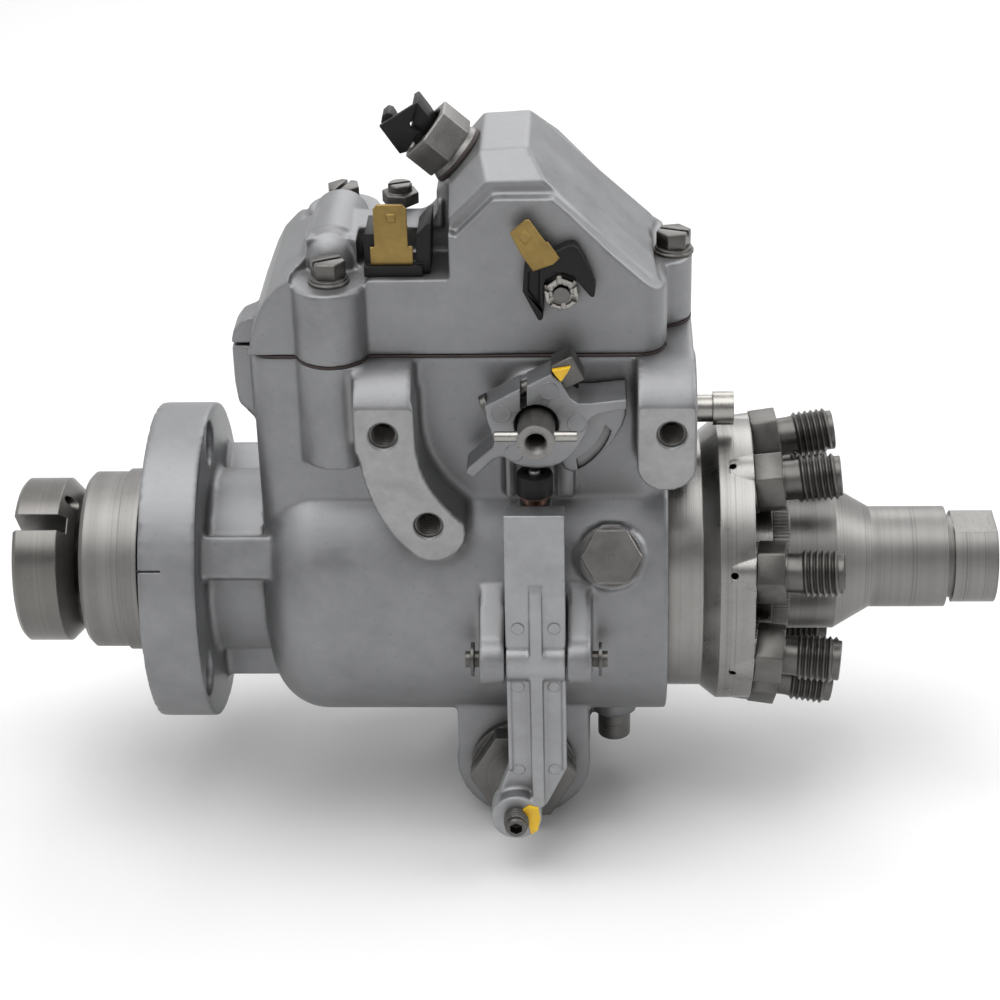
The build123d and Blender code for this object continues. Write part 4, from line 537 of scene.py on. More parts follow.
def leave():
    """Back to object mode."""
    bpy.ops.object.mode_set(mode="OBJECT")


def face_outwards():
    """Turns all faces of the piece in edit mode outwards, and leaves edit mode."""
    bpy.ops.mesh.select_all(action="SELECT")
    bpy.ops.mesh.normals_make_consistent(inside=False)
    leave()


def extrude(distance):
    """Extrudes the selected faces along Z."""
    bpy.ops.mesh.extrude_region_move(TRANSFORM_OT_translate={"value": (0, 0, distance * MM)})


def widen(scale, height=0.0):
    """Scales what is selected about the Z axis, but not along it."""
    middle = (0, 0, height * MM)
    bpy.ops.transform.resize(value=(scale, scale, 1), center_override=middle)


def turn(name, steps, segments=64):
    """A turned piece along Z from (height, radius) steps: a disc that is extruded ring by ring."""
    low, radius = steps[0]
    piece = added(
        name,
        bpy.ops.mesh.primitive_circle_add,
        vertices=segments,
        radius=radius * MM,
        fill_type="NGON",
        location=(0, 0, low * MM),
    )
    edit("SELECT")
    for height, wide in steps[1:]:
        extrude(height - low)
        scale = wide / radius
        if abs(scale - 1) > 1e-9:
            widen(scale, height)
        low, radius = height, wide
    face_outwards()
    return piece


def modify(piece, kind, **settings):
    """Adds a modifier and applies it."""
    only(piece)
    modifier = piece.modifiers.new(kind.title(), kind)
    for key, value in settings.items():
        setattr(modifier, key, value)
    bpy.ops.object.modifier_apply(modifier=modifier.name)


def soften(piece, width, angle=50, segments=2):
    """Bevels the edges that are sharper than the angle."""
    limit = math.radians(angle)
    modify(piece, "BEVEL", width=width * MM, segments=segments, limit_method="ANGLE",
           angle_limit=limit)


def remesh(piece, voxel):
    """Makes one closed skin of a piece, with voxels by their size in metres."""
    modify(piece, "REMESH", mode="VOXEL", voxel_size=voxel)


def smooth(piece, rounds, share=1.0):
    """Smooths a remeshed piece, and thins its faces out to a share."""
    modify(piece, "SMOOTH", factor=0.5, iterations=rounds)
    if share < 1:
        modify(piece, "DECIMATE", ratio=share)


def join(name, pieces):
    """Joins several meshes into one piece."""
    only(pieces[0])
    for piece in pieces:
        piece.select_set(True)
    bpy.ops.object.join()
    pieces[0].name = name
    return pieces[0]


def pick(piece, test):
    """Opens a piece in edit mode with the vertices selected whose place passes the test."""
    only(piece)
    edit()
    bpy.ops.mesh.select_mode(type="VERT")
    leave()
    for corner in piece.data.vertices:
        corner.select = test(corner.co)
    bpy.ops.object.mode_set(mode="EDIT")


def subtract(piece, *tools):
    """Cuts pieces out of another one and deletes the cutters."""
    for tool in tools:
        modify(piece, "BOOLEAN", operation="DIFFERENCE", object=tool, solver="EXACT")
        bpy.data.objects.remove(tool)


def block(size, place, rounding=0.0):
    """A box by its size and middle, with rounded edges if asked."""
    add = bpy.ops.mesh.primitive_cube_add
    piece = added("block", add, size=1, location=Vector(place) * MM, scale=Vector(size) * MM)
    if rounding:
        modify(piece, "BEVEL", width=rounding * MM, segments=3)
    return piece


def outline(name, points, depth):
    """A plate from a closed outline in the XY plane, raised along Z."""
    start = Vector((*points[0], 0)) * MM
    piece = added(name, bpy.ops.mesh.primitive_plane_add, size=MM, location=start)
    edit("SELECT")
    bpy.ops.mesh.select_mode(type="VERT")
    bpy.ops.mesh.merge(type="CENTER")
    for here, there in zip(points, points[1:]):
        step = Vector((there[0] - here[0], there[1] - here[1], 0)) * MM
        bpy.ops.mesh.extrude_vertices_move(TRANSFORM_OT_translate={"value": step})
    bpy.ops.mesh.select_all(action="SELECT")
    bpy.ops.mesh.edge_face_add()
    extrude(depth)
    face_outwards()
    return piece


def arc(radius, start, end, count, centre=(0.0, 0.0)):
    """Points of an arc, from start to end in degrees."""
    across, along = centre
    points = []
    for step in range(count + 1):
        angle = math.radians(start + (end - start) * step / count)
        points.append((across + radius * math.cos(angle), along + radius * math.sin(angle)))
    return points


def twin(piece, name):
    """A copy with its own mesh."""
    copy = piece.copy()
    copy.data = piece.data.copy()
    copy.name = name
    bpy.context.scene.collection.objects.link(copy)
    return copy


def seat(piece, place, axis, up=UP, spin=0.0):
    """Moves a piece modelled along Z to its place, with Z along axis, and applies the move."""
    z = Vector(axis).normalized()
    x = Vector(up).cross(z)
    x = x.normalized() if x.length > 1e-6 else Vector((1, 0, 0))
    turned = Matrix((x, z.cross(x), z)).transposed().to_4x4()
    spun = Matrix.Rotation(math.radians(spin), 4, "Z")
    piece.matrix_world = Matrix.Translation(Vector(place) * MM) @ turned @ spun
    only(piece)
    bpy.ops.object.transform_apply(location=True, rotation=True, scale=True)
    return piece


def dress(piece, finish, body="pump_body", stands_for=None, angle=35):
    """Gives a finished piece its material and its body, and hides the node that it stands for."""
    only(piece)
    bpy.ops.object.shade_smooth_by_angle(angle=math.radians(angle))
    piece.data.materials.clear()
    piece.data.materials.append(bpy.data.materials[finish])
    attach(piece, body)
    if stands_for:
        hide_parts(stands_for)


def copy_of(node, name):
    """A loose copy of a CAD node, with its vertices joined up."""
    piece = twin(nodes[node], name)
    piece.parent = None
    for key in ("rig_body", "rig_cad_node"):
        del piece[key]
    only(piece)
    edit("SELECT")
    bpy.ops.mesh.remove_doubles(threshold=1e-6)
    leave()
    return piece


def soft_casting(name, node, voxel, rounds, share, cuts, extras):
    """A copy of a CAD casting with rounded edges, from a remesh that is smoothed and thinned out.

    Cuts are taken out of the copy first, and extras become part of the casting.
    """
    piece = copy_of(node, name)
    subtract(piece, *cuts)
    piece = join(name, [piece, *extras])
    remesh(piece, voxel)
    smooth(piece, rounds, share)
    return piece


# Operators


class PUMP_OT_materials(bpy.types.Operator):
    """Makes the shared effects and every material, and gives the CAD parts their finishes"""

    bl_idname = "pump.materials"
    bl_label = "Materials"

    def execute(self, context):
        for build in (grain_group, turning_group, edge_group, shade_and_oil_group):
            build()
        colours = context.scene.pump_finishes
        for name, setting, brightness, roughness, others in METALS:
            colour = shade(getattr(colours, setting), brightness)[:3]
            metal(name, colour, roughness, **others)
        for name, setting, *others in MOULDINGS:
            moulded(name, getattr(colours, setting), *others)
        slots = {part["node"]: part["material_slot"] for part in frame["record"]["subparts"]}
        for name, node in nodes.items():
            finish = FINISH_OF_NODE.get(name, FINISH_OF_SLOT[slots[name]])
            node.data.materials.clear()
            node.data.materials.append(bpy.data.materials[finish])
        return {"FINISHED"}


# The cover's voxels as a share of the housing's
COVER_FINENESS = 0.7


class PUMP_OT_castings(bpy.types.Operator):
    """Rounds the housing, its cover and the gasket between them, with the forms that they lack"""

    bl_idname = "pump.castings"
    bl_label = "Castings"

    def execute(self, context):
        voxel = context.scene.pump_details.casting_voxel
        self.housing(voxel)
        self.cover(COVER_FINENESS * voxel)
        # A black strip sunk in the scribed timing groove: painted shade in the groove
        groove_shade = block((6.0, 0.5, 0.4), (TIMING_MARK_X, -37.3, TIMING_MARK_Z))
        groove_shade.name = "timing_line"
        dress(groove_shade, "Black plastic")
        self.gasket()
        return {"FINISHED"}

    def housing(self, voxel):
        """The housing with the deck's lug and screw boss, and two fins between the pads."""
        points = [(0, 0), (-7.9, 0), (-7.9, -10), (-7.2, -16), (-1, -22.5), (0, -22.5)]
        lug = seat(outline("deck_lug", points, 10), (32.8, -7, DECK_TOP), NEAR)
        boss = self.front_boss("deck_boss", 42.5, DECK_TOP, SCREW_BOSS_RADIUS)
        fins = [
            block((wide, 6, 13), (x, -25.2, 39.5)) for wide, x in ((2.3, 93.05), (4.2, 106.7))
        ]
        behind_lug = block((8, 14, 34), (25.7, 12.5, 53))
        housing = soft_casting(
            "housing_casting", "housing", voxel, 4, 0.5, [behind_lug], [lug, boss, *fins]
        )
        self.machine(housing)
        dress(housing, "Cast aluminium", stands_for="housing")
        housing.data.materials.append(bpy.data.materials["Milled aluminium"])
        for face in housing.data.polygons:
            off_the_pads = abs(face.center.y - PAD_FACE * MM)
            if face.normal.y < -0.99 and off_the_pads < 0.01 * MM:
                face.material_index = 1

    def cover(self, voxel):
        """The governor cover."""
        cuts = [*self.deck_corners(DECK_TOP, 40), *self.cover_cuts()]
        cover = soft_casting(
            "cover_casting", "governor_cover", voxel, 5, 0.6, cuts, self.cover_forms()
        )
        dress(cover, "Cast aluminium", stands_for="governor_cover")

    def gasket(self):
        """The gasket, with the rounded corners of the deck."""
        sheet = copy_of("cover_gasket", "gasket_sheet")
        subtract(sheet, *self.deck_corners(65, 10))
        edge = self.front_boss("gasket_edge", DECK_TOP, COVER_BOTTOM, 9.0)
        sheet = join("gasket_sheet", [sheet, edge])
        dress(sheet, "Black rubber", stands_for="cover_gasket")

    def front_boss(self, name, low, high, radius, side=-1):
        """A round boss below a front screw, on the near side or on the far one."""
        boss = turn(name, [(low, radius), (high, radius)])
        return seat(boss, (FRONT_SCREW_X, side * FRONT_SCREW_Y, 0), UP)

    def machine(self, housing):
        """Mills the saddle pads, drills their holes and scribes the timing mark on the flange."""
        subtract(housing, block((100, 2, 60), (98, PAD_FACE - 1, 48)))
        drills = []
        for number, (x, z) in enumerate(PAD_HOLES, 1):
            drill = turn(f"drill_{number}", [(-11, 3.45), (-0.7, 3.45), (1.3, 5.0)], 48)
            drills.append(seat(drill, (x, PAD_HOLE_FACE, z), NEAR))
        mark = block((6.2, 1.2, 0.45), (TIMING_MARK_X, -37.7, TIMING_MARK_Z))
        subtract(housing, join("drills", [*drills, mark]))

    def deck_corners(self, low, height):
        """Cutters that round the two front corners of the deck, seen from above."""
        right = [*arc(6, -90, 0, 10, (125.2, -18.4)), (133, -18.4), (133, -27), (125.2, -27)]
        left = [*arc(4.5, 180, 270, 8, (33.3, -13.9)), (33.3, -21), (26, -21), (26, -13.9)]
        return [
            seat(outline(name, points, height), (0, 0, low), UP)
            for name, points in (("right_corner", right), ("left_corner", left))
        ]

    def cover_cuts(self):
        """Cutters for the left shoulder, the fall behind the plateau and the hump's front step."""
        shoulder = [
            (10, 73), (29.2, 73), (30.4, 75.5), (31.4, 78), (32.8, 81.4), (34.8, 85.0),
            (38.2, 88.6), (42.4, 91.2), (44.4, 92.6), (44.4, 112), (10, 112),
        ]
        fall = [(4, 97.3), (13.5, 92.6), (17, 89.4), (60, 89.4), (60, 125), (4, 125)]
        step = [
            (81.3, 101.1), (90.5, 110.5), (104.6, 110.5), (128, 88.4), (128, 125), (70, 125),
            (76, 104),
        ]
        return [
            seat(outline("shoulder", shoulder, 100), (0, 50, 0), NEAR),
            seat(outline("fall", fall, 50), (26, 0, 0), RIGHT),
            seat(outline("step", step, 12), (0, -20.4, 0), NEAR),
        ]

    def cover_forms(self):
        """The ridge with its round nose, the bosses, the lug and the round corner at the hump."""
        ridge = turn("ridge", [(-16, 7.0), (9.5, 8.3)])
        seat(ridge, (FRONT_SCREW_X, 0, 90.7), (0, -1, -0.03))
        nose = added(
            "nose",
            bpy.ops.mesh.primitive_ico_sphere_add,
            subdivisions=4,
            radius=8.2 * MM,
            location=Vector((FRONT_SCREW_X, -8.9, 90.2)) * MM,
        )
        bosses = [
            self.front_boss("boss", COVER_BOTTOM, SCREW_SEATS[place], SCREW_BOSS_RADIUS, side)
            for place, side in (("near", -1), ("far", 1))
        ]
        lug = outline("cover_lug", [(0, 0), (-7.9, 0), (-7.3, 3), (-5.3, 5.8), (0, 8)], 10)
        seat(lug, (32.8, -7, COVER_BOTTOM), NEAR)
        corner = outline("corner", [(8, 0), (8, 7), *arc(7, 0, -90, 10, (0, 7))], 13.2)
        seat(corner, (69.5, 5, 96.8), NEAR)
        return [ridge, nose, *bosses, lug, corner]


# The outlet thread in shares of its pitch: depth and size of the ridge, and how steep it is
THREAD_DEPTH, RIDGE_SIZE, RIDGE_STEEPNESS = 0.6, 0.55, 0.66


class PUMP_OT_outlets(bpy.types.Operator):
    """Models an outlet fitting with its hexagon and helical thread, and copies it round the head"""

    bl_idname = "pump.outlets"
    bl_label = "Outlet fittings"

    def execute(self, context):
        sizes = context.scene.pump_details
        crest = mounts["outlet_1"]["dims"]["r_mm"]
        pitch = sizes.thread_pitch / MM
        root = crest - THREAD_DEPTH * pitch
        hex_height, neck_height, thread_height = 7, 3, 11.5
        neck_radius, mouth_radius, bore_radius = 5, 4.2, 1.6
        thread_low = hex_height + neck_height
        tip = thread_low + thread_height
        core = turn(
            "thread_core",
            [
                (hex_height - 1, neck_radius),
                (thread_low, neck_radius),
                (thread_low + 0.3, root),
                (tip - 0.2, root),
                (tip, root - 0.5),
                (tip, mouth_radius),
                (tip - 2.6, bore_radius),
                (tip - 8, bore_radius),
            ],
            48,
        )
        plain_ends, first_crest = 1.5, thread_low + 0.9
        turns = int((thread_height - plain_ends) / pitch)
        ridge = self.thread_ridge(crest, pitch, first_crest, turns)
        hex_radius = sizes.outlet_hex / math.sqrt(3) / MM
        flats = turn("outlet_hexagon", [(0, hex_radius), (hex_height, hex_radius)], 6)
        soften(flats, 0.35)
        pattern = join("outlet_pattern", [core, ridge, flats])
        for number in range(1, 9):
            mount = mounts[f"outlet_{number}"]
            axis = Vector(mount["axis"])
            base = Vector(mount["pos_m"]) / MM - axis * (thread_low + thread_height / 2)
            fitting = twin(pattern, f"outlet_fitting_{number}")
            seat(fitting, base, axis, up=RIGHT, spin=17 * number)
            dress(fitting, "Dark steel", stands_for="outlet_fittings")
        bpy.data.objects.remove(pattern)
        return {"FINISHED"}

    def thread_ridge(self, crest, pitch, low, turns):
        """A helical ridge: a triangle whose point is on the crest, wound up from low."""
        add = bpy.ops.mesh.primitive_circle_add
        ridge = added("thread_ridge", add, vertices=3, radius=RIDGE_SIZE * pitch * MM)
        edit("SELECT")
        for axis in ("Z", "X"):
            bpy.ops.transform.rotate(
                value=math.radians(90),
                orient_axis=axis,
                orient_type="GLOBAL",
                center_override=(0, 0, 0),
            )
        leave()
        corners = [corner.co.copy() for corner in ridge.data.vertices]
        reach = max(abs(corner.x) for corner in corners)
        side = math.copysign(1, min(corners, key=lambda corner: abs(corner.z)).x)
        for corner in ridge.data.vertices:
            corner.co.x = crest * MM - (reach - side * corner.co.x) * RIDGE_STEEPNESS
            corner.co.z += low * MM
        modify(ridge, "SCREW", angle=math.tau, screw_offset=pitch * MM, iterations=turns, steps=40,
               render_steps=40, use_merge_vertices=False)
        only(ridge)
        edit()
        bpy.ops.mesh.select_mode(type="EDGE")
        bpy.ops.mesh.select_non_manifold()
        bpy.ops.mesh.fill()
        bpy.ops.mesh.select_mode(type="VERT")
        face_outwards()
        return ridge


class PUMP_OT_levers(bpy.types.Operator):
    """Models the throttle lever and the rocker, with the shaft's end, bolt, screw and cast marks"""

    bl_idname = "pump.levers"
    bl_label = "Levers"

    def execute(self, context):
        voxel = context.scene.pump_details.small_voxel
        self.lever(voxel)
        self.clamp_bolt()
        self.throttle_spindle()
        self.rocker(voxel)
        self.rocker_screw()
        places = ((91.7, 60.9), (103.2, 66.9), (109.8, 58.1), (94.6, 50.4))
        lever_marks = [(x, LEVER_FACE, z) for x, z in places]
        self.marks("lever_mark", lever_marks, 2.4, "Cast aluminium", "throttle")
        rocker_marks = (
            (95.0, -50.1, 8.6), (103.9, -50.1, 8.6), (94.8, -49.2, -8.8), (103.7, -49.2, -8.8),
            (94.5, -49.2, -33.6), (103.6, -49.2, -33.6),
        )
        self.marks("rocker_mark", rocker_marks, 1.6, "Light casting", "rocker")
        return {"FINISHED"}

    def on_spindle(self, y):
        """A place on the throttle shaft's axis."""
        return (SPINDLE_X, y, SPINDLE_Z)

    def marks(self, name, places, radius, finish, body):
        """Round ejector marks: low rings with a slightly sunken middle."""
        steps = [(-0.1, radius), (0.04, radius), (0.1, radius - 0.15), (0.04, radius - 0.35)]
        for number, place in enumerate(places, 1):
            mark = seat(turn(f"{name}_{number}", steps, 48), place, NEAR)
            dress(mark, finish, body=body, angle=10)

    def throttle_spindle(self):
        """The hollow end of the throttle shaft, with its cross pin."""
        spindle = copy_of("throttle_shaft", "throttle_spindle")
        bore = turn("bore", [(0, 2.3), (20, 2.3)], 48)
        subtract(spindle, seat(bore, self.on_spindle(-35), NEAR))
        dress(spindle, "Turned steel", body="throttle",
              stands_for="throttle_shaft")
        for number, (start, end) in enumerate(((90.1, 96.8), (103.4, 109.8)), 1):
            steps = [(0, 1.1), (0.2, 1.28), (end - start, 1.28)]
            pin = seat(turn(f"cross_pin_{number}", steps, 32), (start, -43, SPINDLE_Z), RIGHT)
            dress(pin, "Bright steel", body="throttle")

    def clamp_bolt(self):
        """The clamp bolt's round head, its shank and its square nut."""
        head = turn("clamp_head", [(0.2, 2.6), (0.4, 3.1), (2.0, 3.1)], 40)
        shank = turn("clamp_shank", [(0, 1.7), (22, 1.7)], 32)
        nut = block((6.9, 6.9, 5.6), (0, 0, 23.1), 0.4)
        bolt = join("clamp_bolt", [head, shank, nut])
        seat(bolt, (87.2, -32.75, 60.4), (0.886, 0, 0.464), up=FAR)
        dress(bolt, "Dark steel", body="throttle",
              stands_for="lever_clamp_bolt")

    def rocker(self, voxel):
        """The rocker: plate, set-back panel with a rib and rims, barrel, end boss and shelf."""
        points = [(-46.8, 38.2), (-41.3, 38.2), (-42.2, 3), (-50.1, 3), (-50.1, 8)]
        plate = seat(outline("plate", points, ROCKER_WIDTH), (ROCKER_LEFT, 0, 0), RIGHT)
        points = [
            (-46, 22), (-48.6, 20.8), (-50.0, 18.4), (-51.2, 14), (-51.9, -2), (-52.2, -30),
            (-52.6, -43), (-46.5, -43),
        ]
        rib = seat(outline("rib", points, 3.0), (97.9, 0, 0), RIGHT)
        barrel = turn("barrel", [(0, 5.4), (ROCKER_WIDTH, 5.4)])
        seat(barrel, (ROCKER_LEFT, -47.0, -2.0), RIGHT)
        points = [
            (92.0, 4), (106.6, 4), (106.6, -33.7), (101.5, -44.5), (94, -50), (88.5, -43.5),
            (92.0, -33),
        ]
        panel = seat(outline("panel", points, 3.8), (0, -45.4, 0), NEAR)
        boss = turn("boss", [(0, 6.4), (7, 6.4)])
        seat(boss, (ROCKER_SCREW_X, -46.4, ROCKER_SCREW_Z), NEAR)
        rims = [block((0.9, 4, 38), (x, -47.7, -14.5)) for x in (92.4, 106.2)]
        shelf = block((8, 12, 3), (99.4, -38.5, 34.6))
        stem = seat(turn("stem", [(33, 1.45), (45.2, 1.45)], 32), (99.4, -36, 0), UP)
        rocker = join("rocker_casting", [plate, rib, barrel, panel, boss, *rims, shelf, stem])
        remesh(rocker, voxel)
        smooth(rocker, 3, 0.4)
        dress(rocker, "Light casting", body="rocker",
              stands_for="rocker_lever")

    def rocker_screw(self):
        """The threaded adjusting screw with its hex socket."""
        steps = [(0, 2.6)]
        for ridge in range(4):
            low = 0.4 + ridge
            steps += [(low, 2.6), (low + 0.4, 3.15), (low + 0.5, 3.15), (low + 0.9, 2.6)]
        steps += [(4.8, 2.6), (5.0, 2.75), (5.8, 2.75), (6.2, 2.4)]
        screw = turn("adjusting_screw", steps, 48)
        subtract(screw, turn("socket", [(3.5, 1.75), (7, 1.75)], 6))
        seat(screw, (ROCKER_SCREW_X, -51.8, ROCKER_SCREW_Z), NEAR)
        dress(screw, "Dark steel", body="rocker",
              stands_for="rocker_screw", angle=28)

    def lever(self, voxel):
        """The clamp hub with its ears, the arm, the finger and the set-back cam quadrant."""
        points = [
            *arc(11.9, -133, -49, 12), (9.8, -6.3), (12.1, -2.0), (12.6, 1.2), (14.6, 2.6),
            (21.7, 4.0), (21.5, 6.5), (12.9, 5.5), (9.9, 5.5), (8.2, 6.8), (6.0, 11.2),
            (3.7, 13.35), (-3.0, 9.8), (-5.1, 8.8), (-12.4, 4.8), (-11.9, 1.2), (-10.3, -4.0),
            (-10.6, -6.1), (-16.9, -11.8), (-17.3, -13.1), (-15.4, -14.4), (-10.2, -9.2),
        ]
        hub = outline("hub", points, LEVER_BACK - LEVER_FACE)
        points = [
            (12, 3), (21.7, 4.0), (21.5, -0.6), (20.7, -3.3), (19.4, -5.8), (17.8, -8.3),
            (15.9, -10.6), (13.9, -12.7), (11.7, -14.5), (9.8, -15.6), (8.2, -16.0),
            (6.4, -15.2), (5.2, -12.0), (5.0, -6.0),
        ]
        quadrant = outline("quadrant", points, 2.6)
        points = [(9.9, 5.5), (10.2, 2.0), (12.6, 0.8), (21.7, 2.5), (21.5, 6.5), (12.9, 5.5)]
        arm = outline("arm", points, 8)
        for piece, rear in ((hub, LEVER_BACK), (quadrant, LEVER_BACK), (arm, -25.4)):
            seat(piece, self.on_spindle(rear), NEAR)
        lever = join("lever_casting", [hub, quadrant, arm])
        remesh(lever, voxel)
        outer = arc(17.2, -14.4, -60.6, 12, (1.3, -0.4))
        inner = arc(14.4, -62, -14, 12, (2.6, 0.4))
        groove = seat(outline("groove", [*outer, *inner], 2), self.on_spindle(-29.6), NEAR)
        bore = turn("bore", [(-1, 4.52), (7.4, 4.52), (7.4, 5.4), (10, 5.4)])
        seat(bore, self.on_spindle(LEVER_BACK), NEAR)
        slit = block((1.6, 14, 14), (97.1, -32, 69.0))
        bolt = turn("bolt", [(-6, 1.75), (30, 1.75)])
        seat(bolt, (87.0, -32.75, 59.1), (22.0, 0, 10.7))
        subtract(lever, groove, bore, slit, bolt)
        smooth(lever, 2, 0.4)
        dress(lever, "Cast aluminium", body="throttle",
              stands_for="throttle_lever")


class PUMP_OT_cover_screws(bpy.types.Operator):
    """Models the slotted hex screws of the cover, and the round ones of the timing cover"""

    bl_idname = "pump.cover_screws"
    bl_label = "Cover screws"

    def execute(self, context):
        steps = [(0, 5.0), (0.6, 5.0), (0.8, 4.8), (0.8, 4.5), (1.45, 4.5), (1.5, 4.4)]
        washers = turn("washers", steps, 48)
        across_flats = 7.5
        hex_radius = across_flats / math.sqrt(3)
        head = turn("head", [(1.5, hex_radius), (5.7, hex_radius)], 6)
        soften(head, 0.4, 70)
        subtract(head, block((20, 1.2, 3), (0, 0, 5.7)))
        pattern = join("screw_pattern", [washers, head])
        places = (
            (FRONT_SCREW_X, -FRONT_SCREW_Y, SCREW_SEATS["near"], 25),
            (FRONT_SCREW_X, FRONT_SCREW_Y, SCREW_SEATS["far"], 70),
            (RIGHT_SCREW_X, 0.0, SCREW_SEATS["right"], -20),
        )
        for number, (x, y, z, spin) in enumerate(places, 1):
            self.place(pattern, number, (x, y, z), UP, spin)
        bpy.data.objects.remove(pattern)
        button = turn("button", [(0, 3.8), (1.6, 3.8), (2.3, 3.3), (2.6, 2.4)], 40)
        subtract(button, block((20, 1.0, 2.4), (0, 0, 2.6)))
        for number, x in enumerate((54.0, 78.0), 4):
            self.place(button, number, (x, TIMING_COVER_FACE, 0), FAR, 35 * number)
        bpy.data.objects.remove(button)
        return {"FINISHED"}

    def place(self, pattern, number, seat_middle, axis, spin):
        """A copy of a screw on its seat."""
        screw = twin(pattern, f"cover_screw_{number}")
        seat(screw, seat_middle, axis, spin=spin)
        dress(screw, "Dark steel", stands_for="cover_screws")


class PUMP_OT_end_cap(bpy.types.Operator):
    """Models the knurled ring of the end cap"""

    bl_idname = "pump.end_cap"
    bl_label = "End cap knurl"

    def execute(self, context):
        teeth = context.scene.pump_details.knurl_teeth
        crest_share, end_share = 1.021, 0.993
        ring = added(
            "knurl_ring",
            bpy.ops.mesh.primitive_cylinder_add,
            vertices=2 * teeth,
            radius=18.95 * MM,
            depth=4.1 * MM,
            location=(0, 0, 0),
        )
        step = math.pi / teeth
        pick(ring, lambda place: round(math.atan2(place.x, place.y) / step) % 2 == 0)
        widen(crest_share)
        leave()
        for end in (-1, 1):
            pick(ring, lambda place, end=end: place.z * end > 2 * MM)
            widen(end_share)
            leave()
        seat(ring, (161.8, 0, 0), RIGHT)
        dress(ring, "Turned steel", angle=15)
        return {"FINISHED"}


class PUMP_OT_roller(bpy.types.Operator):
    """Models the black roller on its copper rim"""

    bl_idname = "pump.roller"
    bl_label = "Roller"

    def execute(self, context):
        low, high = (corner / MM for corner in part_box("advance_roller"))
        centre = ((low.x + high.x) / 2, (low.y + high.y) / 2, low.z)
        radius = (high.x - low.x) / 2
        height = high.z - low.z
        bore = 1.55
        steps = [
            (2.6, radius - 0.5), (2.8, radius), (height - 0.6, radius),
            (height - 0.15, radius - 0.2), (height, radius - 0.6), (height, 2.5),
            (height - 0.4, 2.3), (height - 0.4, bore), (2.8, bore),
        ]
        body = turn("roller_body", steps)
        steps = [
            (0, 3.0), (2.0, 3.0), (2.1, radius - 0.4), (2.6, radius - 0.2), (2.7, radius - 0.5),
            (2.7, bore), (0.1, bore),
        ]
        rim = turn("roller_rim", steps)
        finishes = ((body, "Black plastic", "black_plastic"), (rim, "Copper", "bronze_bush"))
        for piece, finish, slot in finishes:
            seat(piece, centre, UP)
            dress(piece, finish, body="roller", stands_for="advance_roller")
        return {"FINISHED"}


class PUMP_OT_tapped_holes(bpy.types.Operator):
    """Lines the tapped holes of the saddle pads with threads, in dark steel for painted shade
    inside the holes
    """

    bl_idname = "pump.tapped_holes"
    bl_label = "Tapped holes"

    def execute(self, context):
        pitch, crests = 1.25, 8
        steps = [(-11.4, 3.55), (-1.3, 3.55), (-1.2, 3.3)]
        for crest in range(crests):
            top = -1.3 - crest * pitch
            steps += [(top - 0.15, 2.85), (top - 0.35, 2.85), (top - pitch, 3.35)]
        pattern = turn("thread_pattern", steps, 40)
        for number, (x, z) in enumerate(PAD_HOLES, 1):
            sleeve = twin(pattern, f"tapped_thread_{number}")
            seat(sleeve, (x, PAD_HOLE_FACE, z), NEAR)
            # Dark steel here paints the shade inside the holes of the aluminium pads
            dress(sleeve, "Dark steel", angle=20)
        bpy.data.objects.remove(pattern)
        return {"FINISHED"}


